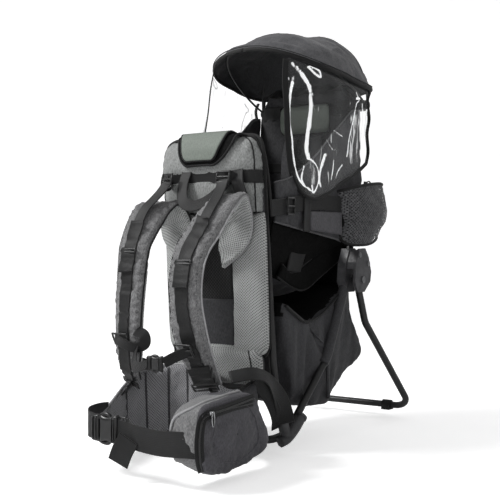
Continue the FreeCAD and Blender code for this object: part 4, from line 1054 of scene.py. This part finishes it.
def make_seat():
    edge = [(96, 398), (118, 420), (131, 520), (134, 660), (128, 735), (100, 782)]

    def wall(pairs, back, sign):
        return [(sign * half, back, z) for half, z in pairs]

    base = ruled([wall(edge, 330, -1), wall(edge, 330, 1)], 60, 30)
    pad, face = padded(base, 11, 7, [CANOPY_LINING, CHARCOAL], 14, relief=lambda p: crumple(p, 70, 41) * 2.0,
                       soft={"grow": 0.04, "cap": 6.0}, quilt=(0.52, 0.8))
    parts = list(pad) + [cord(wall(edge, 328, -1) + wall(edge[::-1], 328, 1), 3.2, BINDING, 90)]
    for level, deep in ((0.80, 34), (0.98, 26), (0.52, 24)):
        path, out = on_grid(face, np.full(30, min(level, 0.97)), np.linspace(0.06, 0.94, 30), 1.5)
        parts.append(sweep(path, tape_section(deep, 2), WEBBING, out))
    build("child_back_pad", parts, stands_for=("child_backrest",))

    low, high = node_box("headrest_pad")
    edge = [(high[0] - 8, low[2]), (high[0], low[2] + 16), (high[0], high[2] - 14), (high[0] - 7, high[2])]
    base = ruled([wall(edge, high[1] - 4, -1), wall(edge, high[1] - 4, 1)], 24, 34)
    pad, face = padded(base, 11, 3, [GREEN, CHARCOAL], 12, crown=0.3, soft={"grow": 0.02, "cap": 4.0})
    rim = wall(edge, high[1] - 4, -1) + wall(edge[::-1], high[1] - 4, 1)
    build("head_cushion", pad + [cord(rim + rim[:1], 2.2, BINDING, 80)], stands_for=("headrest_pad",))

    saddle = [(20, 352), (63, 334), (119, 316), (160, 313), (221, 338), (300, 372), (338, 400)]
    grid = ruled([[(-88, y, z + 14) for y, z in saddle], [(-46, y, z + 2) for y, z in saddle], [(0, y, z - 4) for y, z in saddle],
                  [(46, y, z + 2) for y, z in saddle], [(88, y, z + 14) for y, z in saddle]], 44, 30)
    pad, _ = padded(grid, 11, 6, [LINING, CHARCOAL], 14, relief=lambda p: crumple(p, 50, 43) * 2.0,
                    soft={"grow": 0.04, "cap": 6.0})
    for sign in (1, -1):
        upper = [(x * sign, y, z) for x, y, z in ((100, 60, 372), (98, 102, 352), (97, 160, 372), (97, 252, 412), (99, 318, 436))]
        lower = [(x * sign, y, z) for x, y, z in ((100, 40, 346), (98, 110, 319), (97, 160, 316), (97, 221, 341), (99, 332, 390))]
        pad += padded(ruled([lower, upper][::sign], 40, 14), 7, 5, [LINING], 8,
                      relief=lambda p: crumple(p, 45, 45) * 1.5)[0]
        pad.append(cord(upper, 2.2, BINDING, 50))
        pad.append(cord(lower, 2.6, BINDING, 50))
        skirt_top = [(sign * 112, y, z) for y, z in ((4, 462), (77, 450), (171, 438), (258, 428), (318, 430))]
        skirt_low = [(sign * 84, y, z) for y, z in ((20, 352), (100, 330), (160, 330), (230, 362), (318, 400))]
        pad += padded(ruled([skirt_low, skirt_top][::sign], 36, 20), 3, 3, [LINING], 6,
                      relief=lambda p: crumple(p, 48, 46) * 3.0)[0]
        strap_edge = [[(sign * 103, 120, 452), (sign * 101, 92, 400), (sign * 102, 74, 358)],
                      [(sign * 103, 178, 448), (sign * 101, 156, 398), (sign * 100, 132, 350)]]
        pad += padded(ruled(strap_edge[::sign], 24, 12), 2.5, 2, [WEBBING], 4)[0]
    back_top = [(-122, 322, 440), (0, 326, 436), (122, 322, 440)]
    back_low = [(-122, 296, 262), (0, 300, 256), (122, 296, 262)]
    pad += padded(ruled([back_top, back_low], 30, 24), 3, 3, [LINING], 6, relief=lambda p: crumple(p, 60, 47) * 2.5)[0]
    build("saddle_seat", pad, stands_for=("seat_pan",))

    edge = [(86, 324), (98, 350), (100, 450), (96, 520), (86, 540)]
    base = ruled([outline(edge, -22, -1), outline(edge, -22)], 30, 24)
    pad, _ = padded(base, 8, 8, [CHARCOAL], 9, relief=lambda p: crumple(p, 60, 44) * 2.0)
    build("cockpit_pad", pad, stands_for=("cockpit_panel",))

    straps = []
    for sign in (1, -1):
        shoulder = [(sign * 34, 312, 668), (sign * 40, 304, 620), (sign * 40, 300, 560), (sign * 26, 298, 500), (sign * 8, 292, 452)]
        straps.append(tape(shoulder, 25, 2.2, face=FRONT, count=40))
        cover = ruled([[(x - 17, y - 3, z) for x, y, z in shoulder[:3]], [(x + 17, y - 3, z) for x, y, z in shoulder[:3]]], 20, 10)
        straps += padded(cover[::-1], 6, 3, [CHARCOAL], 6)[0]
        waist = [(sign * 100, 300, 440), (sign * 60, 296, 430), (sign * 8, 290, 446)]
        straps.append(tape(waist, 25, 2, face=FRONT))
    straps.append(tape([(0, 288, 446), (0, 276, 410), (0, 262, 366)], 25, 2, face=(0, -0.9, 0.4)))
    straps += ladder((0, 286, 448), X_AXIS, UP, 34, 26, 3)
    build("child_straps", straps, stands_for=("child_harness",))


WALL_TOP = [(-2, 540), (62, 556), (146, 604), (220, 662), (262, 694), (296, 718), (328, 722)]
WALL_LOW = [(-2, 460), (62, 450), (146, 438), (220, 427), (262, 423), (292, 470), (330, 560)]


def on_wall(y, z, sign, lift=0.0):
    return (sign * (122 + 0.052 * y + lift), y, z)


def make_side(side, sign):
    edges = [[on_wall(y, z, sign) for y, z in WALL_LOW], [on_wall(y, z, sign) for y, z in WALL_TOP]]
    grid = ruled(edges[::-sign], 44, 26)
    pad, face = padded(grid, 5, 5, [CHARCOAL, CANOPY_LINING], 6, relief=lambda p: crumple(p, 60, 51) * 2.2,
                       soft={"grow": 0.03, "cap": 3.0})
    parts = list(pad)
    parts.append(cord(edges[1], 2.0, GREY_PIPING, 60))
    parts.append(cord(edges[0], 2.2, GREY_PIPING, 60))
    face_out = (sign, 0.0, 0.0)
    belt = [on_wall(y, z, sign, 11) for y, z in ((-30, 486), (10, 490), (80, 500), (160, 505), (250, 500))]
    parts.append(tape(belt, 34, 2, face=face_out, count=50))
    cross = [on_wall(y, z, sign, 13) for y, z in ((98, 536), (98, 500), (94, 440))]
    parts.append(tape(cross, 25, 2, face=face_out))
    parts += ladder(on_wall(37, 492, sign, 14), (0, 1, 0), UP, 26, 34, 3)
    ring = node_centre(f"side_ring_{side}")
    parts.append(tape([ring + (-sign * 3, 0, 22), ring + (sign * 3, 0, 10), ring + (-sign * 1, 0, 4)], 20, 2, face=face_out))
    patch = ruled([[on_wall(y, z, sign, 10) for y, z in ((112, 444), (236, 434))],
                   [on_wall(y, z, sign, 10) for y, z in ((112, 484), (236, 486))]][::-sign], 24, 14)
    parts += padded(patch, 3, 3, [PATCH, CHARCOAL], 4, relief=lambda p: crumple(p, 40, 52) * 1.5)[0]
    build(f"side_wing_{side}", parts, stands_for=(f"side_wall_{side}",))


def make_net_pocket(side, sign):
    top = [(136, 222, 530), (158, 236, 536), (178, 282, 547), (184, 340, 553), (172, 374, 551), (150, 384, 548)]
    middle = [(140, 232, 470), (166, 244, 474), (190, 290, 476), (194, 344, 480), (184, 378, 486), (156, 390, 488)]
    low = [(138, 240, 424), (156, 250, 414), (172, 290, 412), (172, 330, 418), (166, 362, 430), (148, 378, 440)]
    edges = [[(sign * x, y, z) for x, y, z in curve] for curve in (top, middle, low)]
    grid = ruled(edges, 44, 24, 0.2)
    sag = crumple(grid, 55, 61) * 3.0
    grid = grid + (facing(grid) * sign * (sag * edge_round(grid, 20))[..., None])
    parts = [grid_part(grid, NET, sign > 0)]
    parts.append(cord(edges[0], 3.4, BINDING, 60))
    parts.append(cord(edges[2], 2.8, BINDING, 60))
    for end in (0, -1):
        parts.append(cord([edge[end] for edge in edges], 2.8, BINDING, 24))
    inner = [[(sign * (x if i in (0, 5) else x - 9), y, z - 3) for i, (x, y, z) in enumerate(curve)]
             for curve in (top, middle, low)]
    lining = ruled(inner, 30, 16)
    parts.append(grid_part(lining, LINING, sign > 0))
    stop = cord([(sign * 176, 288, 548), (sign * 180, 296, 556), (sign * 182, 306, 548)], 1.5, BINDING, 16)
    parts.append(stop)
    parts.append(cord([(sign * 176, 286, 542), (sign * 177, 286, 555)], 4.2, PLASTIC, 10))
    build(f"net_pocket_{side}", parts, stands_for=(f"mesh_pocket_{side}",))


# ---------------------------------------------------------------- storage bag

BAG_OUTLINE = [(18, 290), (50, 270), (92, 252), (150, 262), (210, 290), (262, 316), (282, 322), (322, 250), (368, 168),
               (290, 116), (206, 70), (120, 84), (53, 99), (30, 190)]


def inside_bag(centres):
    """Faces of the bag's open top, between its two side walls; the near-black lining they take is painted shade in the
    bag's mouth.
    """
    rim = np.interp(centres[:, 1], [18, 60, 92, 150, 210, 270, 300], [268, 248, 232, 240, 268, 294, 262])
    return (np.abs(centres[:, 0]) < 127) & (centres[:, 2] > rim) & (centres[:, 1] < 292)


def make_bag():
    ring = closed_curve(BAG_OUTLINE, 120)
    middle = np.array([190.0, 190.0])
    rings = []
    for x, scale in ((-138, 0.03), (-139, 0.35), (-138, 0.7), (-135, 0.92), (-130, 0.985), (-118, 1.0), (-60, 0.985), (0, 0.97),
                     (60, 0.985), (118, 1.0), (130, 0.985), (135, 0.92), (138, 0.7), (139, 0.35), (138, 0.03)):
        plan = middle + (ring - middle) * scale
        sag = 10 * (1 - (x / 140) ** 2) * np.clip((150 - plan[:, 1]) / 80, 0, 1)
        rings.append(np.column_stack([np.full(len(plan), x), plan[:, 0], plan[:, 1] - sag]))
    grid = np.stack([spline(np.stack(rings)[:, j], np.linspace(0, 1, 90)) for j in range(len(ring))], axis=1)
    out = facing(grid)
    if np.mean(np.sum(out * (grid - np.array([0, 190, 190])), axis=2)) < 0:
        out = -out
    fold = crumple(grid, 120, 71, along=(0, 0.45, 0.89)) * 5.0 + crumple(grid, 48, 72) * 1.6
    grid = grid + out * fold[..., None]
    cover = ring_part(list(grid), CHARCOAL, True)
    flat = grid.reshape(-1, 3)
    rim = np.interp(flat[:, 1], [18, 60, 92, 150, 210, 270], [286, 264, 250, 258, 286, 310])
    seams = np.flatnonzero((np.abs(flat[:, 2] - rim) < 8) & (np.abs(flat[:, 0]) > 120) & (flat[:, 1] < 290))
    hung = np.clip((rim - flat[:, 2]) / 40, 0.1, 1)
    shaped = inflate(flat, cover[1], seams, 0.03, 9.0, 2.0, 0.4, hung)
    cover = (shaped,) + cover[1:]
    # Painted shade: the open top between the walls takes the near-black lining.
    parts = retouch(cover, inside_bag, LINING)
    for sign in (1, -1):
        sleeve = [(142, 262, 340), (142, 250, 316), (142, 214, 247), (142, 176, 174), (141, 160, 156)]
        parts.append(cord([(sign * x, y, z) for x, y, z in sleeve], 11.5, CHARCOAL, 50))
        crease = [(142, 176, 168), (139, 184, 120), (134, 196, 76)]
        parts.append(cord([(sign * x, y, z) for x, y, z in crease], 5, CHARCOAL, 30, 0.8))
        hem = [(136, 18, 288), (138, 50, 268), (139, 92, 250), (139, 150, 260), (138, 210, 288), (138, 262, 316)]
        parts.append(cord([(sign * x, y, z) for x, y, z in hem], 3.2, BINDING, 60))
    build("cargo_bag", parts, stands_for=("storage_bag",))


# ---------------------------------------------------------------- canopy

RIM_HALF = [(0, 62), (44, 66), (82, 80), (113, 104), (135, 137), (149, 180), (156, 246), (158, 300), (157, 330),
            (152, 360), (139, 386), (115, 408), (80, 424), (40, 433), (0, 436)]
CROWN = [(60, 839), (105, 876), (148, 903), (197, 902), (240, 899), (280, 902), (305, 908), (340, 901), (380, 893),
         (412, 885), (440, 878)]
CANOPY_CENTRE = np.array([0.0, 258.0])
FRONT_ROD = [(138, 238, 789), (120, 177, 817), (100, 140, 833), (80, 119, 842), (60, 107, 848), (40, 100, 850), (0, 97, 852),
             (-40, 100, 850), (-60, 107, 848), (-80, 119, 842), (-100, 140, 833), (-120, 177, 817), (-138, 238, 789)]


def rim_height(x, y):
    """Height of the canopy's lower edge at a point of its plan."""
    falling = 786 - 0.094 * (np.minimum(y, 378) - 150) + 1.375e-3 * (158 ** 2 - x ** 2)
    rear = np.clip((y - 365) / 60, 0, 1)
    return falling * (1 - rear) + 768 * rear + 8


def canopy_points(plan, depth):
    """Canopy surface over plan points; depth is 0 at the rim and 1 at the middle."""
    x, y = plan[..., 0], plan[..., 1]
    top = np.interp(y, [p[0] for p in CROWN], [p[1] for p in CROWN])
    rear = np.clip((y - 240) / 120, 0, 1)
    power = 1.61 + 2.89 * rear
    bend = 0.52 + 0.48 * np.maximum(rear, np.clip((200 - y) / 100, 0, 1))
    share = (1 - np.clip(1 - depth, 0, 1) ** power) ** bend
    return share, top


def canopy_grid(inset=0.0):
    half = spline(RIM_HALF, np.linspace(0, 1, 61))
    rim = np.vstack([half, (half * np.array([-1, 1]))[-2:0:-1]])
    rim = rim - unit(rim - CANOPY_CENTRE) * inset
    steps = np.linspace(0, 1, 34) ** 1.7 * 0.985
    plan = CANOPY_CENTRE + (rim - CANOPY_CENTRE)[None] * (1 - steps)[:, None, None]
    share, top = canopy_points(plan, np.repeat(steps[:, None], len(rim), axis=1))
    edge = rim_height(rim[:, 0], rim[:, 1])[None]
    z = edge + (top - inset - edge) * share
    x, y = plan[..., 0], plan[..., 1]
    for seam, deep, wide in ((282, 5.0, 12), (172, 1.2, 6)):
        z = z - deep * np.exp(-((y - seam - 0.0006 * x ** 2) / wide) ** 2) * np.clip(steps[:, None] * 6, 0, 1)
    rod = spline(FRONT_ROD, np.linspace(0, 1, 120))
    gap = np.linalg.norm(plan[..., None, :] - rod[:, :2], axis=-1)
    z = z + np.clip(rod[gap.argmin(-1), 2] + 5 - z, 0, None) * np.exp(-(gap.min(-1) / 15) ** 2)
    grid = np.dstack([x, y, z])
    rear = np.clip((y - 230) / 120, 0.12, 1) * np.clip(steps[:, None] * 10, 0, 1)
    fold = crumple(grid, 95, 81, along=(0.35, 0.55, -0.76)) * 3.2 + crumple(grid, 45, 82) * 1.2
    return grid + (UP + unit(np.dstack([x, y - 258, 0 * x]))) * (fold * rear * 0.55)[..., None]


def make_canopy():
    outer = canopy_grid()
    inner = canopy_grid(3.0) - UP * 1.5
    sheet = ring_part(list(outer), CANOPY, False)
    flat = sheet[0]
    index = np.arange(len(flat)).reshape(outer.shape[:2])
    rod = spline(FRONT_ROD, np.linspace(0, 1, 120))
    over_rod = np.linalg.norm(flat[:, None, :2] - rod[:, :2], axis=-1).min(-1) < 7
    ribs = np.flatnonzero((np.abs(flat[:, 1] - 282) < 5) | (np.abs(flat[:, 1] - 172) < 4) | over_rod)
    settled = inflate(flat, sheet[1], np.concatenate([index[0], index[1], ribs]), 0.02, 4.0, 0.6, 0.3)
    shift = (settled - flat).reshape(outer.shape)
    outer = outer + shift
    inner = inner + shift
    parts = [(settled,) + sheet[1:], ring_part(list(inner), CANOPY_LINING, True)]
    rim = np.vstack([outer[0], outer[0][:1]])
    parts.append(sweep(rim - UP * 2, round_section(4.6, 0.5), BINDING, unit(rim - np.array([0, 268, 800]))))
    parts.append(sweep(rim + UP * 5 + unit((rim - np.array([0, 268, 800])) * np.array([1, 1, 0])) * 0.8,
                       round_section(1.2), THREAD, UP))
    build("canopy_sheet", parts, "canopy", ("canopy_dome",))


CURTAIN_COLUMNS = [((97, 86, 812), (106, 74, 700), (124, 62, 566)),
                   ((106, 94, 808), (119, 74, 680), (134, 70, 534)),
                   ((118, 108, 802), (133, 88, 670), (144, 84, 517)),
                   ((135, 137, 793), (144, 120, 650), (150, 120, 511)),
                   ((148, 180, 783), (151, 168, 650), (152, 168, 527)),
                   ((154, 246, 774), (153, 240, 660), (153, 236, 556)),
                   ((156, 300, 768), (155, 298, 676), (153, 300, 582)),
                   ((156, 341, 762), (154, 340, 690), (153, 334, 600))]


# Painted highlights of the clear film, one per streak: width, brightness, and its line as (share across the curtain,
# height).
FOLD_SHINE = [
    (4.6, 1.0, [(0.05, 757), (0.03, 729), (0.02, 697), (0.02, 666), (0.046, 633), (0.05, 608), (0.075, 580)]),
    (2.4, 1.0, [(0.075, 580), (0.12, 552), (0.174, 536), (0.248, 524)]),
    (4.3, 0.9, [(0.083, 792), (0.138, 775), (0.183, 756), (0.211, 732)]),
    (5.9, 1.0, [(0.211, 732), (0.22, 703), (0.211, 678), (0.193, 645), (0.183, 617), (0.202, 596)]),
    (4.1, 0.8, [(0.046, 799), (0.11, 780), (0.156, 764), (0.202, 751)]),
    (3.0, 1.0, [(0.18, 793), (0.24, 780), (0.305, 775), (0.285, 788), (0.2, 796)]),
    (2.7, 1.0, [(0.202, 596), (0.266, 587), (0.312, 576), (0.33, 558), (0.321, 542), (0.257, 523), (0.239, 537)]),
    (9.5, 0.5, [(0.22, 585), (0.25, 566), (0.25, 545)]),
    (2.4, 0.9, [(0.165, 578), (0.147, 552), (0.174, 536)]),
    (4.3, 0.9, [(0.394, 606), (0.367, 583), (0.339, 556), (0.358, 539)]),
    (3.5, 0.8, [(0.505, 597), (0.486, 576), (0.468, 554)]),
    (2.7, 0.7, [(0.642, 589), (0.578, 572), (0.55, 558)]),
    (1.6, 0.8, [(0.404, 639), (0.477, 620), (0.532, 621)]),
    (1.6, 0.8, [(0.486, 662), (0.569, 657), (0.633, 653)]),
    (10.8, 0.55, [(0.80, 700), (0.77, 660), (0.75, 625), (0.77, 600)]),
    (12.2, 0.5, [(0.88, 716), (0.87, 676), (0.87, 629), (0.9, 606)]),
    (2.2, 1.0, [(0.79, 757), (0.845, 742), (0.80, 730), (0.76, 690), (0.72, 650), (0.70, 610)]),
    (1.9, 1.0, [(0.90, 735), (0.93, 700), (0.925, 655), (0.95, 618)]),
    (4.1, 0.9, [(0.97, 722), (0.975, 700), (0.97, 660)]),
]


def fold_shine(grid):
    """Painted highlight on the clear film, 0 to 1, along its tall folds."""
    run = lengths(grid)[1]
    total = np.zeros(grid.shape[:2])
    for width, level, line in FOLD_SHINE:
        fine = spline(line, np.linspace(0, 1, 60))
        reach = np.array([[run[np.argmin(np.abs(grid[:, 40, 2] - z)), -1]] for _, z in fine])
        spots = np.column_stack([fine[:, :1] * reach, fine[:, 1:]])
        apart = np.full(total.shape, 1e9)
        for across, z in spots:
            apart = np.minimum(apart, np.hypot(run - across, grid[..., 2] - z))
        total = np.maximum(total, level * np.clip(1.5 - apart / width, 0, 1))
    return total


def make_curtain(side, sign):
    columns = [[(sign * x, y, z) for x, y, z in column] for column in CURTAIN_COLUMNS]
    grid = ruled(columns, 100, 150, 0.0)
    shine = fold_shine(grid)
    wave = np.sin(np.linspace(0, 1, 150) * 23)[None, :] * 2.0 + crumple(grid, 90, 91, along=(0, 0.2, 0.98)) * 2.4
    grid = grid + facing(grid) * sign * ((wave + 2.5 * shine) * edge_round(grid, 24))[..., None]
    hem = [column[2] for column in columns]
    front = [(sign * x, y, z) for x, y, z in ((95, 83, 808), (99, 74, 760), (105, 71, 700), (113, 64, 630), (123, 62, 566),
                                              (132, 70, 535), (143, 84, 516))]
    edge = [tape(front, 13, 2.4, BINDING, face=(0.75 * sign, -0.65, 0), count=60),
            cord(hem, 4.2, BINDING, 90, 0.6),
            cord([(sign * x, y, z) for x, y, z in ((156, 345, 764), (156, 334, 742), (155, 344, 704), (154, 336, 668),
                                                   (153, 343, 628), (153, 334, 600))], 4.4, BINDING, 60, 0.6)]
    build(f"curtain_binding_{side}", edge, "canopy")
    film = build(f"rain_curtain_{side}", [grid_part(grid, FILM, sign > 0)], "canopy",
                 (f"rain_shield_{side}",))
    # The painted highlight is stored as the film's shine attribute, where the glowing white film shows.
    mark = film.data.attributes.new("shine", "FLOAT", "POINT")
    mark.data.foreach_set("value", shine.astype(np.float32).ravel())


def make_feet():
    """Mouldings that join the leg bar to the back tube just above the floor."""
    parts = []
    for sign in (1, -1):
        leg = [(sign * x, y, z) for x, y, z in ((140, -8, 12), (145, 8, 18), (149, 30, 34), (150, 58, 58))]
        arm = [(sign * x, y, z) for x, y, z in ((146, 6, 20), (141, 6, 38), (136, 5, 58))]
        parts += [cord(leg, 11.5, HINGE_SHELL, 30), cord(arm, 11.5, HINGE_SHELL, 24)]
        for spot, way in ((leg[-1], (leg[-1], leg[-2])), (arm[-1], (arm[-1], arm[-2]))):
            axis = unit(np.array(way[0], float) - np.array(way[1], float))
            collar = [np.array(spot, float) - axis * s for s in (6, 4, 1, 0)]
            parts.append(sweep(np.array(collar), round_section(13, 1.0, 16), HINGE_SHELL))
    build("foot_mouldings", parts, stands_for=("foot_sockets",))


# ---------------------------------------------------------------- build every piece

make_back_panel()
make_pocket()
make_haul_loop()
make_harness()
make_chest_strap()
make_hip_belt()
make_pouch()
make_seat()
make_feet()
for side, sign in SIDES:
    make_side(side, sign)
    make_net_pocket(side, sign)
make_bag()
make_canopy()
for side, sign in SIDES:
    make_curtain(side, sign)


# ---------------------------------------------------------------- stage, light and camera

def stage_look():
    look = Look("studio_paper", 0.9)
    look.paint(look.ramp(look.noise(3, 2.0), [(0.3, linear((246, 246, 247))), (0.7, linear((250, 250, 250)))]))
    look.bump(look.noise(300, 2.0), 0.1, 0.2)
    rays = look.node("ShaderNodeLightPath")
    look.surface.inputs["Emission Color"].default_value = (1.0, 1.0, 1.0, 1.0)
    look.link(look.math("MULTIPLY", rays.outputs["Is Camera Ray"], 0.5), look.surface.inputs["Emission Strength"])
    return look.material


def make_stage():
    profile = [(-6, 0), (3, 0), (4.4, 0.25), (5.2, 1.2), (5.5, 3), (5.5, 7)]
    curve = spline([(y, z, 0) for y, z in profile], np.linspace(0, 1, 40))[:, :2]
    turned = math.radians(35)
    ahead = np.array([-math.sin(turned), math.cos(turned)])
    side = np.array([math.cos(turned), math.sin(turned)])
    points = []
    for y, z in curve:
        for x in (-9, 9):
            place = ahead * y + side * x
            points.append((place[0], place[1], z - 0.0005))
    faces = [(2 * i, 2 * i + 1, 2 * i + 3, 2 * i + 2) for i in range(len(curve) - 1)]
    mesh = bpy.data.meshes.new("backdrop")
    mesh.from_pydata(points, [], faces)
    mesh.polygons.foreach_set("use_smooth", [True] * len(faces))
    mesh.materials.append(stage_look())
    backdrop = bpy.data.objects.new("backdrop", mesh)
    bpy.context.scene.collection.objects.link(backdrop)


def area_light(name, place, target, size, power):
    data = bpy.data.lights.new(name, "AREA")
    data.shape = "DISK"
    data.size = size
    data.energy = power
    lamp = bpy.data.objects.new(name, data)
    lamp.location = place
    lamp.rotation_euler = (Vector(target) - Vector(place)).to_track_quat("-Z", "Y").to_euler()
    bpy.context.scene.collection.objects.link(lamp)


def make_light():
    world = bpy.data.worlds.new("studio")
    world.use_nodes = True
    tree = world.node_tree
    back = tree.nodes["Background"]
    back.inputs["Color"].default_value = (1, 1, 1, 1)
    rays = tree.nodes.new("ShaderNodeLightPath")
    level = tree.nodes.new("ShaderNodeMapRange")
    level.inputs["To Min"].default_value = 0.36
    level.inputs["To Max"].default_value = 0.97
    tree.links.new(rays.outputs["Is Camera Ray"], level.inputs["Value"])
    tree.links.new(level.outputs[0], back.inputs["Strength"])
    bpy.context.scene.world = world
    bpy.context.scene.view_settings.view_transform = "Standard"
    middle = (0, 0.1, 0.45)
    area_light("key", (-1.8, -1.9, 3.0), middle, 1.3, 126)
    area_light("side", (3.0, -0.8, 1.6), middle, 1.6, 9)
    area_light("rim", (1.4, 3.0, 2.2), middle, 1.8, 11)
    area_light("front", (0.6, -3.2, 0.7), middle, 1.4, 12)


def make_camera():
    data = bpy.data.cameras.new("camera")
    data.sensor_width = 36
    data.lens = 975 / 500 * 36
    data.shift_y = -0.008
    camera = bpy.data.objects.new("camera", data)
    camera.location = (1.2225, -1.660, 0.410)
    turned = math.radians(35)
    camera.rotation_euler = Vector((-math.sin(turned), math.cos(turned), 0)).to_track_quat("-Z", "Y").to_euler()
    bpy.context.scene.collection.objects.link(camera)
    bpy.context.scene.camera = camera


make_stage()
make_light()
make_camera()
